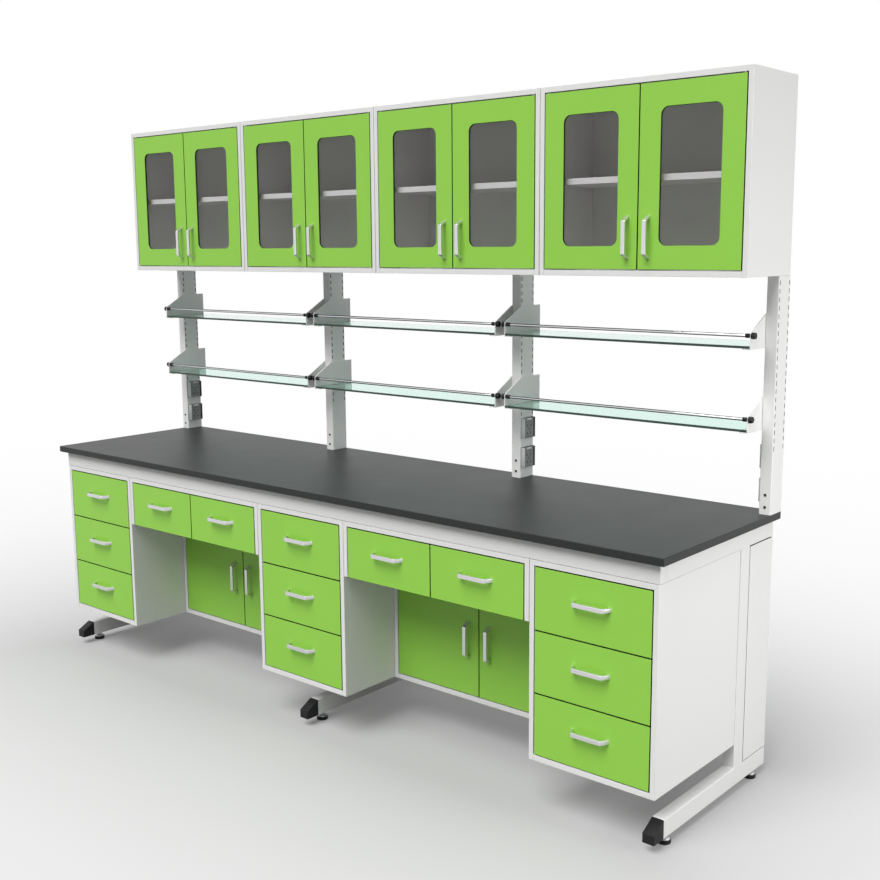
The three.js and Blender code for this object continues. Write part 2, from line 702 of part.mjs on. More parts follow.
// Cradle of one bay: two brackets with lugs, the guard rail through them, sleeves and knobs
function makeCradle(name, span, centreX, level) {
  const plate = [
    [BRACKET_FRONT, -BRACKET_THICKNESS],
    [BRACKET_BACK, -BRACKET_THICKNESS],
    [BRACKET_BACK, BRACKET_HEIGHT],
    [POST_FRONT, BRACKET_HEIGHT],
    [BRACKET_FRONT, BRACKET_NOSE],
  ];
  const outer = span / 2 - SEAT_GAP;
  const inner = outer - BRACKET_THICKNESS;
  const railY = BRACKET_FRONT + RAIL_SETBACK;
  const round = (radius) => shifted(ring(RAIL_SIDES, () => radius), railY, RAIL_RISE);
  const lobe = (i) => (i % 2 ? KNOB_VALLEY : KNOB_RADIUS);
  const star = shifted(ring(2 * KNOB_LOBES, lobe), railY, RAIL_RISE);
  const parts = [prismX(round(RAIL_RADIUS), -outer, outer)];
  for (const side of [-1, 1]) {
    const [x0, x1] = [side * inner, side * outer].sort((a, b) => a - b);
    parts.push(prismX(plate, x0, x1));
    const ledge = side * (inner - BRACKET_LEDGE);
    parts.push(block(ledge, side * outer, BRACKET_FRONT, BRACKET_BACK, -BRACKET_THICKNESS, 0));
    const sleeve = [side * (inner + WELD), side * (inner - SLEEVE_LENGTH)].sort((a, b) => a - b);
    parts.push(prismX(round(SLEEVE_RADIUS), sleeve[0], sleeve[1]));
    const knob = [side * (outer - WELD), side * (outer + KNOB_LENGTH)].sort((a, b) => a - b);
    parts.push(prismX(star, knob[0], knob[1]));
    for (const y of [POST_FRONT + SLOT_EDGE, WORKTOP_DEPTH - SLOT_EDGE]) {
      for (const step of LUG_STEPS) {
        parts.push(bracketLug(side, side * outer, y, BRACKET_LUG_RISE + step * SLOT_PITCH));
      }
    }
  }
  return piece(name, geometryOf(join(parts)), postCoat, centreX, 0, level);
}

function makeGlassShelf(name, span, centreX, level) {
  const half = span / 2 - BRACKET_THICKNESS - 2 * SEAT_GAP;
  const low = level + SEAT_GAP;
  const sheet = block(-half, half, BRACKET_FRONT, BRACKET_BACK, low, low + GLASS_THICKNESS);
  return piece(name, geometryOf(sheet), glass, centreX, 0, 0);
}

const bench = new THREE.Group();
bench.name = 'laboratory_bench';
bench.add(makeWorktop(), makeFrame());

const pedestalX = FRAME_HALF - PEDESTAL_WIDTH / 2;
bench.add(makePedestal('pedestal_left', -pedestalX));
bench.add(makePedestal('pedestal_middle', 0));
bench.add(makePedestal('pedestal_right', pedestalX));
bench.add(makeKnee('knee_left', -pedestalX / 2));
bench.add(makeKnee('knee_right', pedestalX / 2));

for (let i = 0; i < WALL_CABINETS; i += 1) {
  const x = (i - (WALL_CABINETS - 1) / 2) * WALL_CABINET_WIDTH;
  bench.add(makeWallCabinet(`cabinet_${i + 1}`, x));
}

const firstPost = -(BENCH_LENGTH - POST_WIDTH) / 2;
for (let i = 0; i < POSTS; i += 1) {
  bench.add(makePost(`post_${i + 1}`, firstPost + i * POST_PITCH, i % 2 ? -1 : 1));
}

const baySpan = POST_PITCH - POST_WIDTH;
for (let bay = 0; bay < POSTS - 1; bay += 1) {
  const x = firstPost + POST_PITCH / 2 + bay * POST_PITCH;
  SHELF_ROWS.forEach((row, i) => {
    const level = WORKTOP_HEIGHT + slotHeight(row) - BRACKET_LUG_RISE;
    const label = `${i ? 'upper' : 'lower'}_${bay + 1}`;
    bench.add(makeCradle(`cradle_${label}`, baySpan, x, level));
    bench.add(makeGlassShelf(`shelf_glass_${label}`, baySpan, x, level));
  });
}

bench.position.y = -MID_DEPTH;

export default bench;
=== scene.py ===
import math
from contextlib import contextmanager

import bmesh
import bpy
from mathutils import Matrix, Vector


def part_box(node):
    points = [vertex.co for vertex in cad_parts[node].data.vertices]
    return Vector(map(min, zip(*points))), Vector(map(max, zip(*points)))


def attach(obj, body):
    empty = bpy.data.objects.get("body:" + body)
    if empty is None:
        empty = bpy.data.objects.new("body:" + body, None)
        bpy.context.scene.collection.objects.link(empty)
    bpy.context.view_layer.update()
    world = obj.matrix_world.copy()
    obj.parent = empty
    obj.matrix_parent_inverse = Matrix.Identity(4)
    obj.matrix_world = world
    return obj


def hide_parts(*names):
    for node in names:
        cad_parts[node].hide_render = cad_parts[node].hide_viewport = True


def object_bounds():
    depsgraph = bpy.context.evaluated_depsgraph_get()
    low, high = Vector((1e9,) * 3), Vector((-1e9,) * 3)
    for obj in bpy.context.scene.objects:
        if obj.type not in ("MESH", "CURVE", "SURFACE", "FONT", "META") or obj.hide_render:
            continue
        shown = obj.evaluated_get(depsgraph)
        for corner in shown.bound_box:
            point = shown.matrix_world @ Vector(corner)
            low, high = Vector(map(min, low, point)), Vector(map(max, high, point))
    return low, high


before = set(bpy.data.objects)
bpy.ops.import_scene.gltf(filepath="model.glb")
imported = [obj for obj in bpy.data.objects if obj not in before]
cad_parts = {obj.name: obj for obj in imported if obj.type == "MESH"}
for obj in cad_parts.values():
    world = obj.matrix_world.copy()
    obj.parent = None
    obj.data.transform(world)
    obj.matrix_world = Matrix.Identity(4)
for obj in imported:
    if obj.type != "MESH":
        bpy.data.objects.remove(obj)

bl_info = {
    "name": "Laboratory bench",
    "version": (1, 0, 0),
    "blender": (4, 5, 0),
    "location": "3D View > Sidebar > Bench",
    "description": "Models the finished pieces of a laboratory bench with reagent shelf",
    "category": "Object",
}

CAD_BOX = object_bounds()
UP = Vector((0, 0, 1))
RIGHT = Vector((1, 0, 0))
BACK = Vector((0, 1, 0))
MIRROR_X = Matrix.Scale(-1, 4, RIGHT)
UPRIGHT = Matrix.Rotation(math.radians(90), 4, "Y")

PEDESTALS = ("pedestal_left", "pedestal_middle", "pedestal_right")
KNEES = ("knee_left", "knee_right")
CABINETS = ("cabinet_1", "cabinet_2", "cabinet_3", "cabinet_4")
POSTS = ("post_1", "post_2", "post_3", "post_4")
BAYS = tuple(f"{level}_{bay}" for level in ("lower", "upper") for bay in (1, 2, 3))
SIDES = (("left", -1), ("right", 1))

# lengths in metres that are the same all over the bench
NEAR = 1e-4         # two places closer than this are one
SLIVER = 2e-6       # edges shorter than this are dissolved
DOUBLE = 1e-6       # vertices closer than this are merged
LAP = 0.001         # how far a fitting is sunk into what carries it
FIT = 0.0005        # how far sleeves and knobs are sunk into the brackets
OVERCUT = 0.005     # how far a cutting tool stands out of what it cuts

# cosines that tell which way a face or an edge looks
PARALLEL = 0.99     # along a direction
SQUARE = 0.9999     # square to the frame
FRONT_FACE = 0.95   # the flat face of a front
GLASS_FACE = 0.9    # the flat face of a glass shelf
HALFWAY = 0.5       # rather along a direction than across it
JAMB_FACE = 0.3     # across the face of a door, round its window

# widths of the small roundings that the bench's sizes don't give
ROUND = {
    "panel": 0.0015,
    "glass": 0.0012,
    "pad": 0.0009,
    "nut": 0.0009,
    "dish": 0.0008,
    "rail": 0.0008,
    "sleeve": 0.0008,
    "screw": 0.0007,
    "stem": 0.0006,
    "tongue": 0.0006,
    "pin": 0.0006,
    "bracket": 0.0006,
    "channel": 0.0004,
    "socket": 0.0004,
    "lug": 0.0004,
}


# ---------------------------------------------------------------- settings

def number(name, description, default, **kind):
    return bpy.props.FloatProperty(name=name, description=description, default=default, **kind)


def length(name, description, default):
    return number(name, description, default, unit="LENGTH", subtype="DISTANCE", precision=4)


def angle(name, description, default):
    return number(name, description, default, subtype="ANGLE")


def point(name, description, default):
    return bpy.props.FloatVectorProperty(
        name=name, description=description, default=default, subtype="XYZ", unit="LENGTH"
    )


def colour(name, description, default):
    return bpy.props.FloatVectorProperty(
        name=name, description=description, default=default, size=3, subtype="COLOR", min=0.0, max=1.0
    )


class BenchSizes(bpy.types.PropertyGroup):
    """Sizes of the finished pieces that the frame's boxes don't give"""

    board: length("Board", "Thickness of the carcass boards and fronts", 0.018)
    back: length("Back", "Thickness of the carcass backs", 0.008)
    reveal: length("Reveal", "Gap round the fronts", 0.003)
    seam: length("Seam", "Shadow gap between neighbouring carcasses and panels", 0.0010)
    edge: length("Board edge", "Rounding of the board edges", 0.0010)
    front_edge: length("Front edge", "Rounding of the drawer fronts and doors", 0.0015)
    top_edge: length("Worktop edge", "Rounding of the worktop", 0.003)
    tube_wide: length("Tube width", "Width of the frame tube", 0.040)
    tube_high: length("Tube height", "Height of the frame tube", 0.060)
    tube_round: length("Tube rounding", "Corner radius of the frame tube", 0.0018)
    foot_rail: length("Foot rail", "Height of the foot rail's underside", 0.030)
    cap: length("Cap", "Length of the foot rail's end cap", 0.055)
    cap_nose: length("Cap nose", "Height of the end cap's nose", 0.030)
    leg_depth: length("Upright", "Depth of the upright", 0.060)
    stretcher: length("Stretcher", "Height of the stretcher's underside", 0.170)
    panel: length("End panel", "Thickness of the end panels", 0.018)
    tray_length: length("Tray length", "Length of a drawer tray", 0.440)
    tray_side: length("Tray side", "Thickness of a drawer tray's sides", 0.012)
    tray_floor: length("Tray floor", "Thickness of a drawer tray's floor", 0.008)
    tray_drop: length("Tray bottom", "Tray bottom above the front's lower edge", 0.014)
    tray_under: length("Tray top", "Tray top below the front's upper edge", 0.040)
    runner_space: length("Runner space", "Space between tray and carcass side", 0.013)
    runner_rise: length("Runner rise", "Runner above the front's lower edge", 0.040)
    tongue: length("Tongue", "Height of the runner tongue", 0.020)
    tongue_rim: length("Tongue rim", "Margin round the groove in a tongue", 0.005)
    tongue_groove: length("Tongue groove", "Depth of the groove in a tongue", 0.003)
    channel: length("Channel", "Depth of the runner channel", 0.010)
    channel_web: length("Channel web", "Thickness of the channel's web", 0.002)
    channel_lip: length("Channel lip", "Thickness of the channel's lips", 0.003)
    handle_span: length("Handle span", "Distance between the handle's feet", 0.128)
    handle_reach: length("Handle reach", "How far the handle stands out", 0.028)
    handle_wide: length("Handle width", "Width of the handle's flat bar", 0.014)
    handle_thick: length("Handle thickness", "Thickness of the handle's flat bar", 0.008)
    handle_lean: angle("Handle lean", "Splay of the handle's legs", math.radians(30))
    handle_bend: length("Handle bend", "Rounding of the handle's bends", 0.003)
    handle_edge: length("Handle edge", "Rounding of the handle's long edges", 0.0013)
    handle_root: length("Handle root", "Depth of the handle's feet in the front", 0.002)
    handle_rise: length("Handle rise", "Handle above the middle of a drawer front", 0.015)
    knee_split: length("Knee split", "Height of the kneehole drawers' lower edge", 0.615)
    knee_recess: length("Knee recess", "Set-back of the kneehole cupboard", 0.256)
    pivot_edge: length("Pivot edge", "Pivot from the door's edge", 0.009)
    pivot_face: length("Pivot face", "Pivot from the door's face", 0.006)
    pivot_radius: length("Pivot radius", "Radius of the pivot pins", 0.003)
    pivot_depth: length("Pivot depth", "Depth of a pivot pin in the carcass", 0.008)
    knee_handle: length("Knee handle", "Handle from a kneehole door's free edge", 0.045)
    wall_handle: length("Wall handle", "Handle from a cabinet door's free edge", 0.036)
    wall_handle_rise: length("Wall handle rise", "Handle above a cabinet door's lower edge", 0.099)
    window: length("Window margin", "Width of a cabinet door's frame", 0.074)
    window_round: length("Window corner", "Corner radius of a door's window", 0.025)
    window_lip: length("Window lip", "Thickness of the frame in front of the glass", 0.008)
    rebate: length("Rebate", "Width of the rebate behind the lip, in which the glass lies", 0.018)
    shelf_setback: length("Shelf set-back", "Set-back of a cabinet's shelf", 0.030)
    shelf: length("Shelf", "Thickness of a cabinet's shelf", 0.020)
    post_wide: length("Post width", "Width of the rack posts", 0.040)
    post_deep: length("Post depth", "Depth of the rack posts", 0.080)
    post_wall: length("Post wall", "Wall of the rack posts and end panels", 0.002)
    slot_pitch: length("Slot pitch", "Distance between slots", 0.026)
    slot_high: length("Slot height", "Height of a slot", 0.015)
    slot_wide: length("Slot width", "Width of a slot", 0.004)
    slot_edge: length("Slot edge", "Slot from the post's edge", 0.006)
    slot_start: length("Slot start", "First slot above the worktop", 0.214)
    socket_wide: length("Socket width", "Width of a socket housing", 0.076)
    socket_high: length("Socket height", "Height of a socket housing", 0.075)
    socket_thick: length("Socket thickness", "Thickness of a socket housing", 0.010)
    socket_bevel: length("Socket bevel", "Width of the housing's sloping edge", 0.012)
    plate: length("Bracket plate", "Thickness of a bracket", 0.003)
    plate_nose: length("Bracket nose", "Height of a bracket's front edge", 0.047)
    plate_high: length("Bracket height", "Height of a bracket at the post", 0.103)
    plate_reach: length("Bracket reach", "Bracket in front of the post", 0.100)
    ledge: length("Bracket ledge", "Width of a bracket's ledge", 0.025)
    # cosine beyond which the rail's top and bottom faces get the dark steel: painted dark reflection bands
    rail_painted_band: number("Rail shine", "Share of the rail's height that is bright", 0.5)
    rail_radius: length("Rail radius", "Radius of the guard rail", 0.005)
    rail_rise: length("Rail rise", "Guard rail above the shelf", 0.040)
    rail_setback: length("Rail set-back", "Guard rail from the bracket's front", 0.008)
    sleeve_radius: length("Sleeve radius", "Radius of the rail's sleeves", 0.007)
    sleeve: length("Sleeve", "Length of the rail's sleeves", 0.018)
    sleeve_bore: length("Sleeve bore", "Depth of the step in a sleeve's end", 0.002)
    knob_radius: length("Knob radius", "Radius of the clamp knobs", 0.013)
    knob: length("Knob", "Length of the clamp knobs", 0.014)
    lug_rise: length("Lug rise", "First lug's slot above the shelf", 0.017)
    lug: length("Lug", "Length of a bracket's lugs", 0.014)
    lug_high: length("Lug height", "Height of a bracket's lugs", 0.010)
    seat: length("Seat gap", "Gap between touching pieces", 0.0003)


class BenchColours(bpy.types.PropertyGroup):
    """Base colours of the finishes"""

    coat: colour("White coat", "Powder coat of the frame, posts and brackets", (0.84, 0.84, 0.83))
    board: colour("White board", "Laminate of the carcasses", (0.84, 0.84, 0.83))
    green: colour("Green", "Laminate of the drawer fronts and doors", (0.30, 0.65, 0.072))
    # edge band of the fronts: its near-black is painted shade for the reveals round them
    reveal_shade_band: colour("Edge band", "Edge band of the drawer fronts and doors", (0.006, 0.012, 0.004))
    top: colour("Worktop", "Laminate of the worktop", (0.017, 0.018, 0.0185))
    silver: colour("Silver", "Painted handles", (0.71, 0.695, 0.72))
    chrome: colour("Chrome", "Guard rails", (0.62, 0.63, 0.64))
    steel: colour("Steel", "Runners, pins, nuts and stems", (0.56, 0.57, 0.58))
    # dark steel of the screws; on the rails' top and bottom it is painted dark reflection
    dark_steel_and_painted_rail_reflection: colour("Dark steel", "Post screws and the dull part of the rails", (0.05, 0.05, 0.052))
    # near-black on the walls round each door window: painted shade in the jambs
    painted_jamb_shade: colour("Window gasket", "Seal round the door panes", (0.03, 0.03, 0.032))
    # black plastic; the same black is also painted shade inside the posts and their slots, round the end
    # panels and round and in the sockets
    black: colour("Black plastic", "Caps, knobs, sleeves and foot pads", (0.014, 0.014, 0.015))
    tray: colour("Tray", "Drawer trays", (0.62, 0.63, 0.63))
    socket: colour("Socket", "Socket housings", (0.60, 0.60, 0.60))
    insert: colour("Socket insert", "Socket faces", (0.20, 0.20, 0.205))
    glass: colour("Glass", "Faces of the glass shelves", (0.52, 0.855, 0.73))
    # partly the glass's own green; its near-black is painted reflection of the dark the edges show
    glass_edge: colour("Glass edge", "Edges of the glass shelves", (0.012, 0.045, 0.03))
    pane: colour("Door glass", "Door panes", (0.13, 0.07, 0.12))
    floor: colour("Floor", "Floor under the bench", (0.46, 0.46, 0.46))


# ---------------------------------------------------------------- finishes

class Wire:
    """A socket of a shader tree that takes part in arithmetic"""

    def __init__(self, tree, socket=None):
        self.tree = tree
        self.socket = socket

    def node(self, kind, settings=None, sockets=None, out=0):
        made = self.tree.nodes.new(kind)
        for key, value in (settings or {}).items():
            setattr(made, key, value)
        for key, value in (sockets or {}).items():
            if isinstance(value, Wire):
                self.tree.links.new(value.socket, made.inputs[key])
            else:
                made.inputs[key].default_value = value
        return Wire(self.tree, made.outputs[out] if made.outputs else None)

    def maths(self, operation, first, second):
        return self.node("ShaderNodeMath", {"operation": operation}, {0: first, 1: second})

    def __add__(self, other):
        return self.maths("ADD", self, other)

    __radd__ = __add__

    def __mul__(self, other):
        return self.maths("MULTIPLY", self, other)

    __rmul__ = __mul__

    def __rsub__(self, other):
        return self.maths("SUBTRACT", other, self)

    def __rpow__(self, other):
        return self.maths("POWER", other, self)

    def __gt__(self, other):
        return self.maths("GREATER_THAN", self, other)

    def most(self, other):
        return self.maths("MAXIMUM", self, other)

    def vector(self, operation, *values, out=0):
        return self.node("ShaderNodeVectorMath", {"operation": operation}, dict(enumerate(values)), out)

    def place(self):
        return self.node("ShaderNodeTexCoord", out="Object")

    def noise(self, scale, detail=2.0, stretch=(1.0, 1.0, 1.0)):
        spread = self.node("ShaderNodeMapping", None, {"Vector": self.place(), "Scale": stretch})
        sockets = {"Vector": spread, "Scale": scale, "Detail": detail}
        return self.node("ShaderNodeTexNoise", None, sockets)

    def blend(self, share, first, second):
        sockets = {0: share, 6: paint(first), 7: paint(second)}
        return self.node("ShaderNodeMix", {"data_type": "RGBA"}, sockets, 2)

    def bump(self, height, strength, distance):
        sockets = {"Height": height, "Strength": strength, "Distance": distance}
        return self.node("ShaderNodeBump", None, sockets)


def paint(value):
    """A colour as four numbers; a wire stays as it is"""
    return value if isinstance(value, Wire) else (*value, 1.0)


def shade(value, factor):
    return tuple(min(1.0, channel * factor) for channel in value)


def finish(name, make, **constants):
    """One principled material; make(wire) gives the sockets that vary over the surface"""
    material = bpy.data.materials.new(name)
    material.use_nodes = True
    tree = material.node_tree
    shader = next(node for node in tree.nodes if node.type == "BSDF_PRINCIPLED")
    for key, value in constants.items():
        shader.inputs[key.replace("_", " ")].default_value = value
    for key, value in make(Wire(tree)).items():
        tree.links.new(value.socket, shader.inputs[key])
    return material


def surface(base, grain, tones, rough, patches, relief, cloud=None, share=0.0):
    """A finish that covers a whole piece, as a maker of its varying sockets

    grain, cloud and patches are noises: scale, detail and stretch. The tone runs between the factors
    in tones: by the cloud, or the grain where there is none, with share of the grain mixed in. rough is
    the least roughness and what the patches add, relief the strength and depth of the grain.
    """
    def make(wire):
        fine = wire.noise(*grain)
        tone = wire.noise(*cloud) if cloud else fine
        if share:
            tone = share * fine + (1.0 - share) * tone
        return {
            "Base Color": wire.blend(tone, shade(base, tones[0]), shade(base, tones[1])),
            "Roughness": rough[0] + rough[1] * wire.noise(*patches),
            "Normal": wire.bump(fine, *relief),
        }
    return make


def powder_coat(base):
    """Sprayed paint: fine orange peel, slight unevenness of tone and gloss"""
    return surface(
        base, grain=(320.0, 3.0), cloud=(2.5, 3.0), share=0.7, tones=(0.95, 1.04),
        rough=(0.42, 0.16), patches=(40.0, 2.0), relief=(0.12, 0.0004),
    )


def laminate(base, spread):
    """Pressed laminate: fine pearl texture with a faint long-grain cloud"""
    return surface(
        base, grain=(300.0, 4.0), cloud=(3.0, 3.0, (1.0, 1.0, 0.4)), share=0.6,
        tones=(1.0 - spread, 1.0 + spread), rough=(0.40, 0.14), patches=(25.0, 3.0), relief=(0.10, 0.0003),
    )


def metal(base, rough, spread):
    """Metal or metallic paint with fine drawing lines and dulled patches"""
    return surface(
        base, grain=(700.0, 3.0, (0.08, 1.0, 1.0)), tones=(0.92, 1.05),
        rough=(rough, spread), patches=(30.0, 3.0), relief=(0.05, 0.0002),
    )


def plastic(base, rough):
    """Moulded plastic with a fine spark-eroded grain"""
    return surface(
        base, grain=(1500.0, 2.0), cloud=(18.0, 3.0), tones=(0.85, 1.15),
        rough=(rough, 0.15), patches=(60.0, 2.0), relief=(0.10, 0.0002),
    )


def stone_top(base):
    """Dark compact laminate: fine light specks, faint wiping marks"""
    def make(wire):
        specks = wire.noise(1400.0, 4.0) > 0.60
        cloud = wire.noise(6.0, 4.0, (1.0, 0.5, 1.0))
        ground = wire.blend(cloud, shade(base, 0.92), shade(base, 1.1))
        return {
            "Base Color": wire.blend(0.45 * specks, ground, shade(base, 2.6)),
            "Roughness": 0.40 + 0.06 * wire.noise(9.0, 4.0, (1.0, 0.6, 1.0)),
            "Normal": wire.bump(wire.noise(1100.0, 3.0), 0.10, 0.0003),
        }
    return make


def flat_glass(base, tones, rough, cover=None):
    """Glass with faint wiping marks; cover is its least opacity and what the marks add"""
    def make(wire):
        marks = wire.noise(7.0, 4.0, (1.0, 1.0, 2.5))
        sockets = {
            "Base Color": wire.blend(marks, shade(base, tones[0]), shade(base, tones[1])),
            "Roughness": rough[0] + rough[1] * marks,
        }
        if cover:
            sockets["Alpha"] = cover[0] + cover[1] * marks
        return sockets
    return make


def make_finishes(c):
    """All finishes of the bench, by name"""
    shelf = flat_glass(c.glass, (0.985, 1.01), (0.005, 0.015))
    # opaque near-black green edges: the glass's own green plus painted reflection
    edge = flat_glass(c.glass_edge, (0.94, 1.04), (0.03, 0.05), (0.90, 0.10))
    pane = flat_glass(c.pane, (0.94, 1.04), (0.03, 0.05), (0.06, 0.03))
    chrome = metal(c.chrome, 0.05, 0.06)
    return {
        "coat": finish("white_powder_coat", powder_coat(c.coat)),
        "board": finish("white_board", laminate(c.board, 0.03)),
        "green": finish("green_laminate", laminate(c.green, 0.05)),
        # near-black edge band: painted shade in the reveals round the fronts
        "reveal_shade_band": finish("edge_band_painted_reveal_shade", plastic(c.reveal_shade_band, 0.70), Specular_IOR_Level=0.1),
        "top": finish("dark_worktop", stone_top(c.top), Specular_IOR_Level=0.27),
        "silver": finish("silver_handle", metal(c.silver, 0.28, 0.10), Metallic=0.85),
        "chrome": finish("chrome", chrome, Metallic=1.0, Specular_Tint=(0, 0, 0, 1)),
        "steel": finish("zinc_plate", metal(c.steel, 0.32, 0.20), Metallic=1.0),
        # blackened screws, and painted dark reflections on the rails
        "dark_steel_and_painted_rail_reflection": finish("blackened_steel_and_painted_rail_reflection", metal(c.dark_steel_and_painted_rail_reflection, 0.35, 0.20), Metallic=0.8),
        # real black plastic, and painted shade wherever it lines gaps and hollows
        "black": finish("black_plastic_and_painted_shade", plastic(c.black, 0.42), Specular_IOR_Level=0.2),
        # painted shade for the walls round the door windows
        "painted_jamb_shade": finish("window_painted_jamb_shade", plastic(c.painted_jamb_shade, 0.50), Specular_IOR_Level=0.2),
        "tray": finish("tray_paint", powder_coat(c.tray)),
        "socket": finish("socket_plastic", plastic(c.socket, 0.34)),
        "insert": finish("socket_insert", plastic(c.insert, 0.40)),
        "glass": finish("shelf_glass", shelf, IOR=1.5, Transmission_Weight=1.0),
        "edge": finish("glass_edge", edge, IOR=1.5),
        "pane": finish("door_glass", pane, IOR=1.5),
    }


FINISHES = {}


# ---------------------------------------------------------------- modelling tools

def box(node):
    """A node's lowest and highest corners"""
    low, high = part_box(node)
    return Vector(low), Vector(high)


def centre(node):
    """The middle of a node along the bench"""
    return sum(corner.x for corner in box(node)) / 2


def clear():
    """Leaves edit mode and deselects everything"""
    if bpy.context.object and bpy.context.object.mode != "OBJECT":
        bpy.ops.object.mode_set(mode="OBJECT")
    bpy.ops.object.select_all(action="DESELECT")


def take(obj):
    """Makes obj the only selected and the active object"""
    clear()
    obj.select_set(True)
    bpy.context.view_layer.objects.active = obj


def settle():
    """Puts the new object's place into its mesh"""
    bpy.ops.object.transform_apply(location=True, rotation=True, scale=True)
    return bpy.context.object


def cuboid(low, high):
    """Cube from its lowest to its highest corner"""
    clear()
    low, high = Vector(low), Vector(high)
    bpy.ops.mesh.primitive_cube_add(size=1, location=(low + high) / 2, scale=high - low)
    return settle()


def drum(start, along, radius, depth, sides):
    """Cylinder from start, its axis along a direction"""
    clear()
    turn = UP.rotation_difference(Vector(along)).to_euler()
    middle = Vector(start) + Vector(along) * depth / 2
    bpy.ops.mesh.primitive_cylinder_add(
        vertices=sides, radius=radius, depth=depth, location=middle, rotation=turn
    )
    return settle()


@contextmanager
def shaping(obj):
    """Edit mode on one object"""
    take(obj)
    bpy.ops.object.mode_set(mode="EDIT")
    yield
    bpy.ops.object.mode_set(mode="OBJECT")


def choose(obj, kind, test):
    """Selects the faces, edges or vertices that pass a test of their place and direction"""
    bpy.ops.mesh.select_mode(type=kind)
    bpy.ops.mesh.select_all(action="DESELECT")
    mesh = bmesh.from_edit_mesh(obj.data)
    if kind == "FACE":
        for face in mesh.faces:
            face.select_set(test(face.calc_center_median(), face.normal))
    elif kind == "EDGE":
        for edge in mesh.edges:
            start, end = (vertex.co for vertex in edge.verts)
            edge.select_set(test((start + end) / 2, (end - start).normalized()))
    else:
        for vertex in mesh.verts:
            vertex.select_set(test(vertex.co, vertex.normal))
    mesh.select_flush_mode()
    bmesh.update_edit_mesh(obj.data)


def choose_faces(obj, direction, test=None):
    """Selects the faces that look in a direction"""
    direction = Vector(direction)
    choose(obj, "FACE", lambda at, way: way.dot(direction) > PARALLEL and (test is None or test(at)))


def extrude(shift):
    bpy.ops.mesh.extrude_region_move(TRANSFORM_OT_translate={"value": tuple(shift)})


def grow(obj, direction, distance, test=None):
    """Extrudes the faces that look in a direction"""
    choose_faces(obj, direction, test)
    extrude(Vector(direction) * distance)


def sink(obj, direction, rim, depth):
    """Insets the faces that look in a direction and pushes them in"""
    with shaping(obj):
        choose_faces(obj, direction)
        bpy.ops.mesh.inset(thickness=rim)
        extrude(Vector(direction) * -depth)


def round_edges(obj, direction, width, segments):
    """Rounds the edges that run along a direction"""
    direction = Vector(direction)
    with shaping(obj):
        choose(obj, "EDGE", lambda at, way: abs(way.dot(direction)) > PARALLEL)
        bpy.ops.mesh.bevel(offset=width, segments=segments, affect="EDGES")


def bisect(level):
    """Divides the mesh in edit mode at a height"""
    bpy.ops.mesh.select_all(action="SELECT")
    bpy.ops.mesh.bisect(plane_co=(0, 0, level), plane_no=UP)


def modify(obj, kind, **options):
    """Adds a modifier and applies it"""
    take(obj)
    bpy.ops.object.modifier_add(type=kind)
    modifier = obj.modifiers[-1]
    for key, value in options.items():
        setattr(modifier, key, value)
    bpy.ops.object.modifier_apply(modifier=modifier.name)


def clear_slivers(obj):
    """Removes the faces without area that bevels and cuts leave where edges meet"""
    with shaping(obj):
        bpy.ops.mesh.select_all(action="SELECT")
        bpy.ops.mesh.dissolve_degenerate(threshold=SLIVER)


def soften(obj, width, segments=2):
    """Rounds all edges"""
    modify(
        obj, "BEVEL", width=width, segments=segments, limit_method="ANGLE",
        angle_limit=math.radians(30), harden_normals=False,
    )
    clear_slivers(obj)


def cut(obj, tool):
    """Takes the tool's shape out of a piece"""
    modify(obj, "BOOLEAN", operation="DIFFERENCE", solver="EXACT", object=tool)
    discard(tool)
    clear_slivers(obj)


def tidy_normals(obj):
    with shaping(obj):
        bpy.ops.mesh.select_all(action="SELECT")
        bpy.ops.mesh.remove_doubles(threshold=DOUBLE)
        bpy.ops.mesh.normals_make_consistent(inside=False)


def joined(objects):
    clear()
    for obj in objects:
        obj.select_set(True)
    bpy.context.view_layer.objects.active = objects[0]
    bpy.ops.object.join()
    return objects[0]


def smooth(obj, degrees=40):
    """Rounds stay smooth, and the faces square to the frame stay flat"""
    take(obj)
    bpy.ops.object.shade_smooth_by_angle(angle=math.radians(degrees))
    with shaping(obj):
        choose(obj, "FACE", lambda at, way: max(abs(part) for part in way) > SQUARE)
        bpy.ops.mesh.faces_shade_flat()


def dress(obj, *finishes):
    """Gives a piece its finishes"""
    obj.data.materials.clear()
    for name in finishes:
        obj.data.materials.append(FINISHES[name])


def sort_faces(obj, rule):
    """Gives each face the finish whose number the rule tells"""
    for face in obj.data.polygons:
        face.material_index = int(rule(face))


def polish(obj, width, *finishes, segments=2):
    """Rounds a piece, sets its shading and gives it its finishes"""
    soften(obj, width, segments)
    smooth(obj)
    dress(obj, *finishes)
    return obj


def deliver(obj, name, body, nodes=()):
    """Names a finished piece and ties it to the frame"""
    obj.name = name
    obj.data.name = name
    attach(obj, body)
    if nodes:
        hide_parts(*nodes)
    return obj


def stamp(pattern, name, body, shift, turn=None, nodes=()):
    """A copy of a pattern with its own mesh, turned about the origin and then shifted"""
    mesh = pattern.data.copy()
    if turn is not None:
        mesh.transform(turn)
        if turn.determinant() < 0:
            mesh.flip_normals()
    mesh.transform(Matrix.Translation(Vector(shift)))
    twin = bpy.data.objects.new(name, mesh)
    bpy.context.scene.collection.objects.link(twin)
    return deliver(twin, name, body, nodes)


def discard(*patterns):
    for pattern in patterns:
        bpy.data.objects.remove(pattern, do_unlink=True)


# ---------------------------------------------------------------- shared patterns

def clear_width(s, unit):
    """Width between the sides of a carcass"""
    low, high = box(f"{unit}_carcass")
    return high.x - low.x - 2 * s.board


def leaf_width(s, unit):
    """Width of one of the two fronts that share a carcass"""
    return (clear_width(s, unit) - 3 * s.reveal) / 2


def centred_box(unit):
    """The corners of a carcass, moved along the bench to the middle"""
    shift = RIGHT * centre(f"{unit}_carcass")
    return [corner - shift for corner in box(f"{unit}_carcass")]


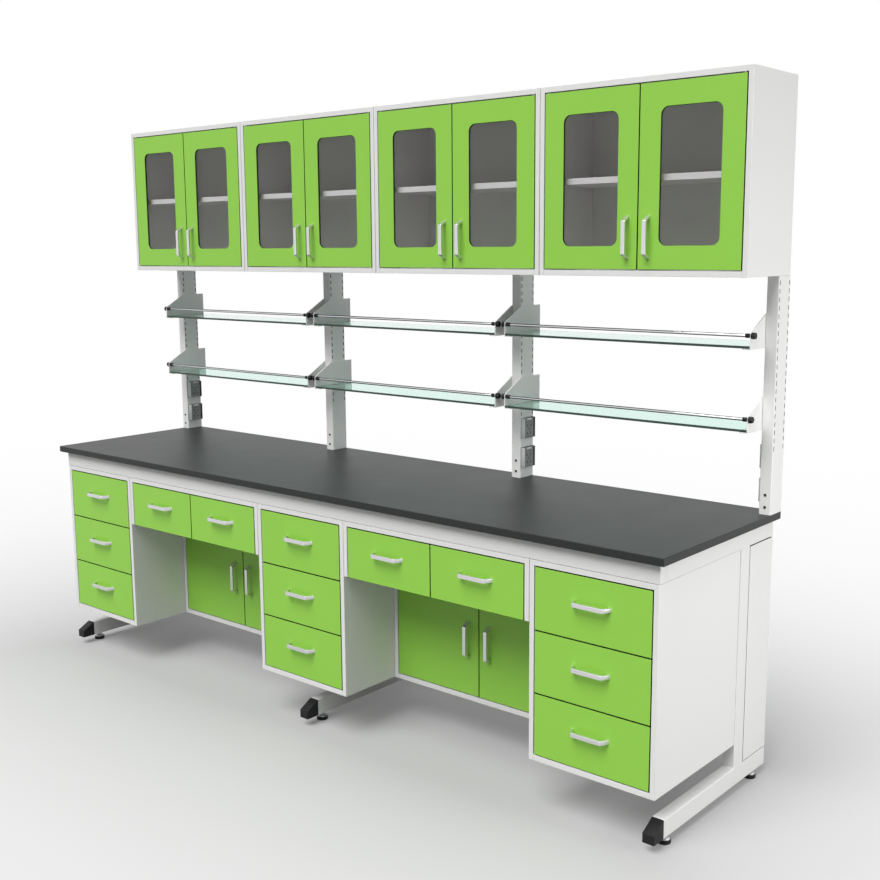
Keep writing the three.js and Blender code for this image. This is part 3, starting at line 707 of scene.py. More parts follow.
def carcass_pattern(s, low, high, rear_gap=0.0, top_gap=0.0, floor=True, inner=()):
    """Box of white boards, open at the front, with seams beside it and the boards inside it"""
    low, high = Vector(low), Vector(high)
    left, right = low.x + s.board, high.x - s.board
    rear, top = high.y - rear_gap, high.z - top_gap
    base, lid = low.z + (s.board if floor else 0.0), high.z - s.board
    bottom = [((left, low.y, low.z), (right, rear, base))] if floor else []
    spans = [
        ((low.x + s.seam, low.y, low.z), (left, rear, top)),
        ((right, low.y, low.z), (high.x - s.seam, rear, top)),
        *bottom,
        ((left, low.y, lid), (right, rear, top)),
        ((left, high.y - s.back, base), (right, rear, lid)),
        *inner,
    ]
    boards = []
    for span in spans:
        board = cuboid(*span)
        soften(board, s.edge)
        boards.append(board)
    whole = joined(boards)
    smooth(whole)
    dress(whole, "board")
    return whole


def handle_pattern(s):
    """Flat bow handle along X, its feet on y = 0

    One leg is shaped from a plane, half the bar is extruded from it, and the rest is mirrored.
    """
    splay = math.tan(s.handle_lean)
    leg = s.handle_thick / math.cos(s.handle_lean)
    outer = s.handle_span / 2 + leg / 2 - s.handle_reach * splay
    under = s.handle_reach - s.handle_thick
    foot = outer + (s.handle_reach + s.handle_root) * splay
    low = -s.handle_wide / 2
    corners = {
        (-1, -1): (outer - leg + s.handle_thick * splay, -under),
        (1, -1): (outer, -s.handle_reach),
        (-1, 1): (foot - leg, s.handle_root),
        (1, 1): (foot, s.handle_root),
    }
    clear()
    bpy.ops.mesh.primitive_plane_add(size=2, location=(0, 0, low))
    bar = settle()
    with shaping(bar):
        for (right, back), (x, y) in corners.items():
            choose(bar, "VERT", lambda at, way: (at - Vector((right, back, low))).length < NEAR)
            bpy.ops.transform.translate(value=(x - right, y - back, 0))
        choose(bar, "EDGE", lambda at, way: at.y < -under + NEAR)
        extrude((0, 0, 0))
        bpy.ops.transform.resize(value=(0, 1, 1), center_override=(0, 0, 0))
    modify(bar, "MIRROR", use_axis=(True, False, False), merge_threshold=NEAR / 10)

    def bend(at, way):
        return abs(way.z) > PARALLEL and abs(at.x) > outer - leg and at.y < -under + NEAR

    with shaping(bar):
        bpy.ops.mesh.select_all(action="SELECT")
        extrude((0, 0, s.handle_wide))
        choose(bar, "EDGE", bend)
        bpy.ops.mesh.bevel(offset=s.handle_bend, segments=4, affect="EDGES")
    tidy_normals(bar)
    return polish(bar, s.handle_edge, "silver", segments=3)


def front_pattern(s, width, height):
    """Drawer front or plain door about x = 0, its lower edge at z = 0 and its face at y = 0"""
    panel = cuboid((-width / 2, 0, 0), (width / 2, s.board, height))
    polish(panel, s.front_edge, "green", "reveal_shade_band", segments=3)
    band(panel)
    return panel


def band(panel):
    """Gives the faces round a front's edge its second finish: a near-black edge band, painted shade that
    darkens the reveals round the front
    """
    sort_faces(panel, lambda face: abs(face.normal.y) <= FRONT_FACE)


def tray_pattern(s, left, right, height):
    """Open tray behind a drawer front"""
    top = height - s.tray_under
    tray = cuboid((left, s.board, s.tray_drop), (right, s.board + s.tray_length, top))
    sink(tray, UP, s.tray_side, top - s.tray_drop - s.tray_floor)
    return polish(tray, s.edge, "tray")


def tongue_pattern(s, inner, side):
    """Runner tongue on a tray's side, with a rolled groove along its outer face"""
    reach = s.runner_space - s.channel_web - s.seat
    low, high = sorted((inner, inner + side * reach))
    front, rear = s.board + s.reveal, s.board + s.tray_length
    tongue = cuboid((low, front, s.runner_rise), (high, rear, s.runner_rise + s.tongue))
    sink(tongue, (side, 0, 0), s.tongue_rim, s.tongue_groove)
    return polish(tongue, ROUND["tongue"], "steel")


def channel_pattern(s, side):
    """Fixed runner channel on a carcass side at x = 0, open towards side"""
    front = s.board + s.reveal
    low, high = -s.seat, s.tongue + s.seat
    near, far = sorted((0.0, side * s.channel_web))
    web = cuboid((near, front, low - s.channel_lip), (far, front + s.tray_length, high + s.channel_lip))
    with shaping(web):
        bpy.ops.mesh.select_mode(type="FACE")
        bisect(low)
        bisect(high)
        grow(web, (side, 0, 0), s.channel - s.channel_web, lambda at: not low < at.z < high)
    return polish(web, ROUND["channel"], "steel")


def pin_pattern(s, height):
    """The two pivot pins of a door on the line x = y = 0"""
    reach = s.reveal + s.pivot_depth - s.seat
    pins = []
    for start, way in ((LAP, -1), (height - LAP, 1)):
        pin = drum((0, 0, start), (0, 0, way), s.pivot_radius, reach + LAP, sides=20)
        soften(pin, ROUND["pin"])
        pins.append(pin)
    whole = joined(pins)
    smooth(whole)
    dress(whole, "steel")
    return whole


def hang_doors(s, units, door, part, height, at, grip):
    """Hangs a door on both sides of each unit, with its handle and pivot pins

    at is the depth of the door's face and the height of its lower edge, grip the handle's place
    from the door's free edge and lower edge.
    """
    face, level = at
    half = clear_width(s, units[0]) / 2
    width = leaf_width(s, units[0])
    handle = handle_pattern(s)
    pins = pin_pattern(s, height)
    for unit in units:
        middle = centre(f"{unit}_carcass")
        for label, side in SIDES:
            node = f"{unit}_door_{label}"
            x = middle + side * (width + s.reveal) / 2
            stamp(door, f"{node}_{part}", node, (x, face, level), nodes=[node])
            x = middle + side * (s.reveal / 2 + grip[0])
            stamp(handle, f"{node}_handle", node, (x, face, level + grip[1]), UPRIGHT)
            x = middle + side * (half - s.reveal - s.pivot_edge)
            stamp(pins, f"{node}_pins", node, (x, face + s.pivot_face, level))
    discard(door, handle, pins)


def drawer_height(s):
    """Height of a pedestal's drawer fronts"""
    low, high = box("pedestal_middle_carcass")
    return (high.z - low.z - 2 * s.board - 4 * s.reveal) / 3


def drawer_levels(s):
    """Lower edges of a pedestal's drawer fronts, the top drawer first"""
    lowest = box("pedestal_middle_carcass")[0].z + s.board + s.reveal
    return [lowest + index * (drawer_height(s) + s.reveal) for index in (2, 1, 0)]


def socket_side(index):
    """The side of a post that has its sockets"""
    return -1 if index % 2 else 1


def post_centre(s, index):
    """Middle of a post, whose sockets stand out on one side"""
    return centre(POSTS[index]) - socket_side(index) * s.socket_thick / 2


# ---------------------------------------------------------------- operators

class Builder:
    """What the operators share"""

    bl_options = {"REGISTER", "UNDO"}

    def execute(self, context):
        self.build(context.scene.bench_sizes)
        return {"FINISHED"}


class BENCH_OT_worktop(Builder, bpy.types.Operator):
    """Models the dark worktop slab with rounded edges and a drip groove"""

    bl_idname = "bench.worktop"
    bl_label = "Worktop"

    groove_in: length("Groove margin", "Drip groove from the worktop's edge", 0.012)
    groove_side: length("Groove side", "Width of each side of the drip groove", 0.004)
    groove_deep: length("Groove depth", "Depth of the drip groove", 0.003)

    def build(self, s):
        slab = cuboid(*box("worktop"))
        with shaping(slab):
            choose_faces(slab, -UP)
            bpy.ops.mesh.inset(thickness=self.groove_in)
            bpy.ops.mesh.inset(thickness=self.groove_side, depth=-self.groove_deep)
            bpy.ops.mesh.inset(thickness=self.groove_side, depth=self.groove_deep)
        polish(slab, s.top_edge, "top", segments=4)
        deliver(slab, "worktop_slab", "bench", ["worktop"])


class BENCH_OT_leg_frames(Builder, bpy.types.Operator):
    """Models the three C-shaped tube frames, the rails between them and the end panels"""

    bl_idname = "bench.leg_frames"
    bl_label = "Leg frames"

    def build(self, s):
        low, high = box("steel_frame")
        carcass = box("pedestal_left_carcass")
        half = s.tube_wide / 2
        front, rear = low.y, high.y
        leg_front = carcass[1].y + s.seat
        leg_back = leg_front + s.leg_depth
        foot_top = s.foot_rail + s.tube_high
        arm, top = carcass[1].z + s.seat, high.z
        leg = cuboid((-half, leg_front, s.foot_rail), (half, leg_back, foot_top))
        with shaping(leg):
            grow(leg, -BACK, leg_front - front - s.cap)
            grow(leg, BACK, rear - leg_back)
            grow(leg, UP, arm - foot_top, lambda at: leg_front < at.y < leg_back)
            grow(leg, UP, top - arm, lambda at: at.z > foot_top + NEAR)
            grow(leg, -BACK, leg_front - front - s.tube_wide, lambda at: at.z > arm)
            grow(leg, BACK, rear - s.tube_wide - leg_back, lambda at: at.z > arm)
        polish(leg, s.tube_round, "coat", segments=4)
        for name, x in (("left", low.x + half), ("middle", 0.0), ("right", high.x - half)):
            nodes = ["steel_frame"] if name == "left" else []
            stamp(leg, f"leg_frame_{name}", "bench", (x, 0, 0), nodes=nodes)
        discard(leg)
        inner_low = (low.x + s.tube_wide, leg_back - s.tube_wide, s.stretcher)
        inner_high = (high.x - s.tube_wide, leg_back, s.stretcher + s.tube_high)
        rails = {
            "apron": ((low.x, front, arm), (high.x, front + s.tube_wide, top)),
            "rear_rail": ((low.x, rear - s.tube_wide, arm), (high.x, rear, top)),
            "stretcher": (inner_low, inner_high),
        }
        for name, span in rails.items():
            rail = polish(cuboid(*span), s.tube_round, "coat", segments=4)
            deliver(rail, f"frame_{name}", "bench", [])
        for name, side in SIDES:
            self.end_panel(s, name, side, high.x * side, (leg_back, rear), (foot_top, arm))

    def end_panel(self, s, name, side, outer, depths, levels):
        """Folded sheet behind an end upright; its return edges and a thin sheet behind it are black,
        painted shade in the seams round it
        """
        (front, rear), (base, top) = depths, levels
        gap, inside = 3 * s.seam, s.panel / 2
        near, far = sorted((outer, outer - side * s.panel))
        sheet = cuboid((near, front + gap, base + gap), (far, rear, top - gap))
        sink(sheet, (-side, 0, 0), s.panel, s.panel - s.post_wall)
        polish(sheet, ROUND["panel"], "coat", "black", segments=3)

        def rim(face):
            at = face.center
            outside = at.y < front + inside or not base + inside < at.z < top - inside
            return outside and abs(face.normal.x) < HALFWAY

        # the sheet's return edges get black: painted shade in the seams
        sort_faces(sheet, rim)
        deliver(sheet, f"end_panel_{name}", "bench", [])
        near, far = sorted((outer - side * s.panel, outer - side * (s.panel - s.seam)))
        # thin black sheet behind the panel: painted shade seen through the seams
        seal = cuboid((near, front - s.seam, base - s.seam), (far, rear, top + s.seam))
        polish(seal, s.seam / 4, "coat", "black")
        sort_faces(seal, lambda face: face.normal.x * side >= -HALFWAY)
        deliver(seal, f"end_panel_seal_{name}", "bench", [])


class BENCH_OT_foot_fittings(Builder, bpy.types.Operator):
    """Models the black wedge caps and the levelling feet with their lock nuts"""

    bl_idname = "bench.foot_fittings"
    bl_label = "Caps and feet"

    pad_radius: length("Pad radius", "Radius of a foot's pad", 0.021)
    pad_high: length("Pad height", "Height of a foot's pad", 0.014)
    pad_rim: length("Pad rim", "Width and height of the rim round a pad", 0.001)
    dish_rim: length("Dish rim", "Dish from the pad's edge, and thickness of its edge", 0.0015)
    dish_top: length("Dish top", "Radius of the dish at the stem", 0.009)
    neck_radius: length("Stem radius", "Radius of a foot's stem", 0.006)
    neck_base: length("Neck base", "Height at which the stem begins", 0.022)
    nut_high: length("Nut height", "Height of the lock nut", 0.008)
    nut_radius: length("Nut radius", "Corner radius of the lock nut", 0.011)
    front_foot: length("Front foot", "Front foot from the tube's end", 0.038)
    rear_foot: length("Rear foot", "Rear foot from the tube's end", 0.066)

    def build(self, s):
        low, high = box("steel_frame")
        half = s.tube_wide / 2
        top = s.foot_rail + s.tube_high
        cap = cuboid((-half, low.y, s.foot_rail), (half, low.y + s.cap, top))
        with shaping(cap):
            choose(cap, "EDGE", lambda at, way: at.y < low.y + NEAR and at.z > top - NEAR)
            bpy.ops.transform.translate(value=(0, 0, s.cap_nose - s.tube_high))
        polish(cap, s.edge, "black", segments=3)
        foot = self.foot_patterns(s)
        places = (("left", low.x + half), ("middle", 0.0), ("right", high.x - half))
        ends = (("front", low.y + s.cap + self.front_foot), ("rear", high.y - self.rear_foot))
        for name, x in places:
            stamp(cap, f"foot_cap_{name}", "bench", (x, 0, 0))
        for name, x in places:
            for end, y in ends:
                for part, pattern in foot.items():
                    stamp(pattern, f"foot_{part}_{name}_{end}", "bench", (x, y, 0))
        discard(cap, *foot.values())

    def foot_patterns(self, s):
        pad = drum((0, 0, 0), UP, self.pad_radius, self.pad_high, sides=36)
        sink(pad, UP, self.pad_rim, self.pad_rim)
        dish_radius = self.pad_radius - self.dish_rim
        dish_base = self.pad_high - self.pad_rim
        dish = drum((0, 0, dish_base), UP, dish_radius, self.dish_rim, sides=36)
        with shaping(dish):
            grow(dish, UP, self.neck_base - dish_base - self.dish_rim)
            share = self.dish_top / dish_radius
            bpy.ops.transform.resize(value=(share, share, 1))
        neck = (0, 0, self.neck_base - LAP)
        stem = drum(neck, UP, self.neck_radius, s.foot_rail - self.neck_base, sides=24)
        under = (0, 0, s.foot_rail - self.nut_high)
        nut = drum(under, UP, self.nut_radius, self.nut_high - s.seat, sides=6)
        return {
            "pad": polish(pad, ROUND["pad"], "black"),
            "dish": polish(dish, ROUND["dish"], "steel"),
            "stem": polish(stem, ROUND["stem"], "steel"),
            "nut": polish(nut, ROUND["nut"], "steel"),
        }


class BENCH_OT_pedestals(Builder, bpy.types.Operator):
    """Models the three drawer pedestals of white board with their runner channels"""

    bl_idname = "bench.pedestals"
    bl_label = "Pedestal carcasses"

    def build(self, s):
        low, high = centred_box("pedestal_middle")
        carcass = carcass_pattern(s, low, high, rear_gap=s.seam, top_gap=s.seam)
        channels = {side: channel_pattern(s, -side) for _, side in SIDES}
        for name in PEDESTALS:
            node = f"{name}_carcass"
            x = centre(node)
            stamp(carcass, f"{name}_box", "bench", (x, 0, 0), nodes=[node])
            for index, z in enumerate(drawer_levels(s)):
                for label, side in SIDES:
                    at = (x + side * (high.x - s.board), low.y, z + s.runner_rise)
                    stamp(channels[side], f"{name}_channel_{index + 1}_{label}", "bench", at)
        discard(carcass, *channels.values())


class BENCH_OT_knee_units(Builder, bpy.types.Operator):
    """Models the two kneehole units: a drawer housing over a set-back cupboard"""

    bl_idname = "bench.knee_units"
    bl_label = "Kneehole carcasses"

    def build(self, s):
        low, high = centred_box("knee_left")
        split, half = s.knee_split, s.board / 2
        divider = (
            (-half, low.y + s.board + s.reveal, split),
            (half, high.y - s.back, high.z - s.board),
        )
        housing = carcass_pattern(
            s, (low.x, low.y, split), high, top_gap=s.seam, floor=False, inner=[divider]
        )
        cupboard = carcass_pattern(s, (low.x, low.y + s.knee_recess, low.z), (high.x, high.y, split))
        channels = {side: channel_pattern(s, side) for _, side in SIDES}
        walls = {
            "a": (low.x + s.board, 1),
            "b": (-half, -1),
            "c": (half, 1),
            "d": (high.x - s.board, -1),
        }
        for name in KNEES:
            node = f"{name}_carcass"
            x = centre(node)
            stamp(housing, f"{name}_housing", "bench", (x, 0, 0), nodes=[node])
            stamp(cupboard, f"{name}_cupboard", "bench", (x, 0, 0))
            for label, (wall, side) in walls.items():
                at = (x + wall, low.y, split + s.runner_rise)
                stamp(channels[side], f"{name}_channel_{label}", "bench", at)
        discard(housing, cupboard, *channels.values())


class BENCH_OT_drawers(Builder, bpy.types.Operator):
    """Models the pedestal and kneehole drawers: front, tray, runner tongues and bow handle"""

    bl_idname = "bench.drawers"
    bl_label = "Drawers"

    def build(self, s):
        handle = handle_pattern(s)
        self.pedestal_drawers(s, handle)
        self.knee_drawers(s, handle)
        discard(handle)

    def pedestal_drawers(self, s, handle):
        front = box("pedestal_middle_carcass")[0].y
        clear_between = clear_width(s, "pedestal_middle")
        height = drawer_height(s)
        half = clear_between / 2 - s.runner_space
        parts = self.patterns(s, clear_between - 2 * s.reveal, height, -half, half)
        for name in PEDESTALS:
            x = centre(f"{name}_carcass")
            for index, z in enumerate(drawer_levels(s)):
                self.place(s, parts, handle, f"{name}_drawer_{index + 1}", (x, front, z), height)
        discard(*parts.values())

    def knee_drawers(self, s, handle):
        low, high = box("knee_left_carcass")
        width = leaf_width(s, "knee_left")
        height = high.z - s.board - s.reveal - s.knee_split
        bay = (clear_width(s, "knee_left") - s.board) / 2
        front_x = (width + s.reveal) / 2
        tray_x = (bay + s.board) / 2
        half = bay / 2 - s.runner_space
        for label, side in SIDES:
            offset = side * (tray_x - front_x)
            parts = self.patterns(s, width, height, offset - half, offset + half)
            for name in KNEES:
                at = (centre(f"{name}_carcass") + side * front_x, low.y, s.knee_split)
                self.place(s, parts, handle, f"{name}_drawer_{label}", at, height)
            discard(*parts.values())

    def patterns(self, s, width, height, left, right):
        return {
            "front": front_pattern(s, width, height),
            "tray": tray_pattern(s, left, right, height),
            "tongue_left": tongue_pattern(s, left, -1),
            "tongue_right": tongue_pattern(s, right, 1),
        }

    def place(self, s, parts, handle, node, at, height):
        at = Vector(at)
        for label, pattern in parts.items():
            front = label == "front"
            stamp(pattern, f"{node}_{label}", node, at, nodes=[node] if front else [])
        stamp(handle, f"{node}_handle", node, at + UP * (height / 2 + s.handle_rise))


class BENCH_OT_knee_doors(Builder, bpy.types.Operator):
    """Models the kneehole cupboard doors with their handles and pivot pins"""

    bl_idname = "bench.knee_doors"
    bl_label = "Kneehole doors"

    def build(self, s):
        low = box("knee_left_carcass")[0]
        height = s.knee_split - 2 * s.board - 2 * s.reveal - low.z
        door = front_pattern(s, leaf_width(s, "knee_left"), height)
        at = (low.y + s.knee_recess, low.z + s.board + s.reveal)
        hang_doors(s, KNEES, door, "panel", height, at, (s.knee_handle, height / 2))


class BENCH_OT_cabinets(Builder, bpy.types.Operator):
    """Models the four overhead cabinets of white board with their inner shelf"""

    bl_idname = "bench.cabinets"
    bl_label = "Overhead cabinets"

    def build(self, s):
        low, high = centred_box("cabinet_1")
        level = (low.z + high.z - s.shelf) / 2
        shelf = (
            (low.x + s.board, low.y + s.shelf_setback, level),
            (high.x - s.board, high.y - s.back, level + s.shelf),
        )
        carcass = carcass_pattern(s, low, high, inner=[shelf])
        for name in CABINETS:
            node = f"{name}_carcass"
            at = (centre(node), 0, 0)
            stamp(carcass, f"{name}_box", "bench", at, nodes=[node])
        discard(carcass)


class BENCH_OT_cabinet_doors(Builder, bpy.types.Operator):
    """Models the glazed cabinet doors: frame with rounded window, handle and pivot pins"""

    bl_idname = "bench.cabinet_doors"
    bl_label = "Glazed doors"

    def build(self, s):
        low, high = box("cabinet_1_carcass")
        height = high.z - low.z - 2 * s.board - 2 * s.reveal
        door = self.frame_pattern(s, leaf_width(s, "cabinet_1"), height)
        at = (low.y, low.z + s.board + s.reveal)
        hang_doors(s, CABINETS, door, "frame", height, at, (s.wall_handle, s.wall_handle_rise))

    def frame_pattern(self, s, width, height):
        """Frame with a rounded window in front and a rebate for the glass behind its lip"""
        half = width / 2
        door = cuboid((-half, 0, 0), (half, s.board, height))
        cut(door, self.window_tool(s, half, height, s.window, -OVERCUT, s.board + OVERCUT))
        soften(door, s.front_edge, 3)
        front = s.window_lip - s.seat
        cut(door, self.window_tool(s, half, height, s.window - s.rebate, front, 2 * s.board))
        smooth(door)
        dress(door, "green", "reveal_shade_band", "painted_jamb_shade")
        band(door)
        # the walls round the window get the third finish, near-black painted shade in the jambs
        rim = s.window / 2

        def painted_jamb_shade(face):
            inside = abs(face.center.x) < half - rim and rim < face.center.z < height - rim
            return 2 if inside and abs(face.normal.y) < JAMB_FACE else face.material_index

        sort_faces(door, painted_jamb_shade)
        return door

    def window_tool(self, s, half, height, margin, front, rear):
        tool = cuboid((margin - half, front, margin), (half - margin, rear, height - margin))
        round_edges(tool, BACK, s.window_round, segments=10)
        return tool


class BENCH_OT_posts(Builder, bpy.types.Operator):
    """Models the four slotted rack posts and their front screws"""

    bl_idname = "bench.posts"
    bl_label = "Rack posts"

    rows: bpy.props.IntProperty(name="Rows", description="Slots in each column", default=21, min=1)
    post_round: length("Post rounding", "Corner radius of a post", 0.0025)
    slot_round: number("Slot rounding", "Share of a slot's width that its corners take", 0.3)
    screw_radius: length("Screw radius", "Radius of a screw head", 0.0045)
    screw_sunk: length("Screw seat", "Depth of a screw head in the post", 0.0008)
    screw_thick: length("Screw head", "Thickness of a screw head", 0.003)
    drive_deep: length("Screw drive", "Depth of the hole in a screw head", 0.0015)
    screw_low: length("Lower screw", "Lower screw above the worktop", 0.024)
    screw_high: length("Upper screw", "Upper screw above the worktop", 0.064)

    def build(self, s):
        post = self.post_pattern(s)
        screw = drum((0, self.screw_sunk, 0), -BACK, self.screw_radius, self.screw_thick, sides=24)
        sink(screw, -BACK, self.screw_radius / 2, self.drive_deep)
        polish(screw, ROUND["screw"], "dark_steel_and_painted_rail_reflection")
        for index, node in enumerate(POSTS):
            corner = box(node)[0]
            at = Vector((post_centre(s, index), corner.y, corner.z))
            stamp(post, f"{node}_tube", "bench", at, nodes=[node])
            for label, rise in (("low", self.screw_low), ("high", self.screw_high)):
                stamp(screw, f"{node}_screw_{label}", "bench", at + UP * rise)
        discard(post, screw)

    def post_pattern(self, s):
        """Open tube whose sides have a column of slots near the front and near the rear edge"""
        low, high = box("post_1")
        half = s.post_wide / 2
        post = cuboid((-half, 0, 0), (half, s.post_deep, high.z - low.z))
        with shaping(post):
            choose(post, "FACE", lambda at, way: abs(way.z) > PARALLEL)
            bpy.ops.mesh.delete(type="FACE")
        round_edges(post, UP, self.post_round, segments=4)
        # painted shade: the tube's inner faces (the solidify's second finish) and the slot walls are black
        dress(post, "coat", "black")
        wall = {"offset": -1.0, "use_even_offset": True, "material_offset": 1}
        modify(post, "SOLIDIFY", thickness=s.post_wall, **wall)
        base = s.slot_start - s.seat - s.slot_high / 2
        near = s.slot_edge - s.slot_wide / 2
        reach = half + OVERCUT
        tool = cuboid((-reach, near, base), (reach, near + s.slot_wide, base + s.slot_high))
        round_edges(tool, RIGHT, s.slot_wide * self.slot_round, segments=2)
        # the slot walls take the tool's black: painted shade in the slots
        dress(tool, "coat", "black")
        sort_faces(tool, lambda face: 1)
        row = {"use_relative_offset": False, "use_constant_offset": True}
        across = s.post_deep - 2 * s.slot_edge
        modify(tool, "ARRAY", count=self.rows, constant_offset_displace=(0, 0, s.slot_pitch), **row)
        modify(tool, "ARRAY", count=2, constant_offset_displace=(0, across, 0), **row)
        cut(post, tool)
        smooth(post)
        return post


class BENCH_OT_sockets(Builder, bpy.types.Operator):
    """Models the power sockets on the posts: sloping housing, grey face with pin holes, tab"""

    bl_idname = "bench.sockets"
    bl_label = "Sockets"

    low_centre: length("Lower socket", "Lower socket's centre above the worktop", 0.076)
    high_centre: length("Upper socket", "Upper socket's centre above the worktop", 0.1855)
    inset: length("Inset", "Gap between the post's front and a socket", 0.003)
    recess: length("Recess", "Depth of the face below the housing", 0.0015)
    # the black strip at the rear of a socket's face is painted shade
    strip: length("Strip", "Width of the black strip behind a face", 0.009)
    gap: length("Face gap", "Gap round a socket's face", 0.0008)
    face_thick: length("Face", "Thickness of a socket's face", 0.003)
    groove_drop: length("Groove", "Groove in the face below the housing's upper edge", 0.017)
    hole: length("Pin hole", "Width of a pin hole", 0.0040)
    hole_long: length("Pin hole length", "Length of a pin hole", 0.0075)
    hole_deep: length("Pin hole depth", "Depth of a pin hole", 0.0024)
    tab: length("Tab", "Width of the light tab on top of a face", 0.028)
    tab_drop: length("Tab drop", "Tab's lower edge below the housing's upper edge", 0.0075)

    # depth, height and turn in degrees of the pin holes, from the middle of a face
    pins = (
        (-0.012, 0.009, 0),
        (0.012, 0.009, 0),
        (0, -0.004, 0),
        (-0.010, -0.019, 40),
        (0.010, -0.019, -40),
    )

    def build(self, s):
        pieces = self.patterns(s)
        for index, node in enumerate(POSTS):
            side = socket_side(index)
            corner = box(node)[0]
            wall = post_centre(s, index) + side * s.post_wide / 2
            turn = MIRROR_X if side < 0 else None
            for label, rise in (("low", self.low_centre), ("high", self.high_centre)):
                at = (wall, corner.y + self.inset, corner.z - s.seat + rise)
                for part, pattern in pieces.items():
                    stamp(pattern, f"{node}_socket_{label}_{part}", "bench", at, turn)
        discard(*pieces.values())

    def patterns(self, s):
        """The pieces of a socket on a wall at x = 0, its front edge at y = 0 and its middle at z = 0"""
        gap, high, deep, outer = self.gap, s.socket_high / 2, s.socket_wide, s.socket_thick
        front, rear = outer - self.recess, deep - self.strip
        middle, lift = (s.socket_bevel + rear) / 2, high - 2 * gap
        # painted shade: a black backing round the housing and a black strip at the rear of the face
        seal = cuboid((-s.seat, -gap, -high - gap), (gap, deep + gap, high + gap))
        strip = cuboid((front - self.recess, rear, -lift), (front, deep - 2 * gap, lift))
        tab_low = (front - gap, middle - self.tab / 2, high - self.tab_drop)
        tab = cuboid(tab_low, (outer, middle + self.tab / 2, lift))
        return {
            "seal": polish(seal, gap / 3, "black"),
            "housing": self.housing_pattern(s, front, deep),
            "strip": polish(strip, ROUND["socket"], "black"),
            "face": self.face_pattern(s, front, rear, middle, lift),
            "tab": polish(tab, ROUND["socket"], "coat"),
        }

    def housing_pattern(self, s, front, deep):
        high, outer, edge = s.socket_high / 2, s.socket_thick, s.socket_bevel
        body = cuboid((0, 0, -high), (outer, deep, high))
        with shaping(body):
            choose(body, "EDGE", lambda at, way: at.x > outer - NEAR and at.y < NEAR)
            bpy.ops.transform.translate(value=(0, edge, 0))
        sink(body, RIGHT, self.gap, 2 * self.recess)
        tidy_normals(body)
        polish(body, ROUND["socket"], "socket", "black")
        rim = deep - self.gap / 2
        # the recess round the face gets black: painted shade
        sort_faces(body, lambda face: face.center.x < front and edge < face.center.y < rim)
        return body

    def face_pattern(self, s, front, rear, middle, lift):
        near = s.socket_bevel + 2 * self.gap
        face = cuboid((front - self.face_thick, near, -lift), (front, rear - self.gap, lift))
        dress(face, "insert", "black")
        groove = s.socket_high / 2 - self.groove_drop
        cuts = [(*pin, self.hole / 2, self.hole_long / 2) for pin in self.pins]
        cuts.append((0, groove, 0, s.socket_wide, self.gap / 2))
        outside = s.socket_thick + self.face_thick
        for y, z, turn, wide, tall in cuts:
            tool = cuboid((front - self.hole_deep, -wide, -tall), (outside, wide, tall))
            # the walls of the pin holes and the groove take the tool's black: painted shade
            dress(tool, "insert", "black")
            sort_faces(tool, lambda side: 1)
            spin = Matrix.Rotation(math.radians(turn), 4, "X")
            tool.data.transform(Matrix.Translation((0, middle + y, z)) @ spin)
            cut(face, tool)
        smooth(face)
        return face


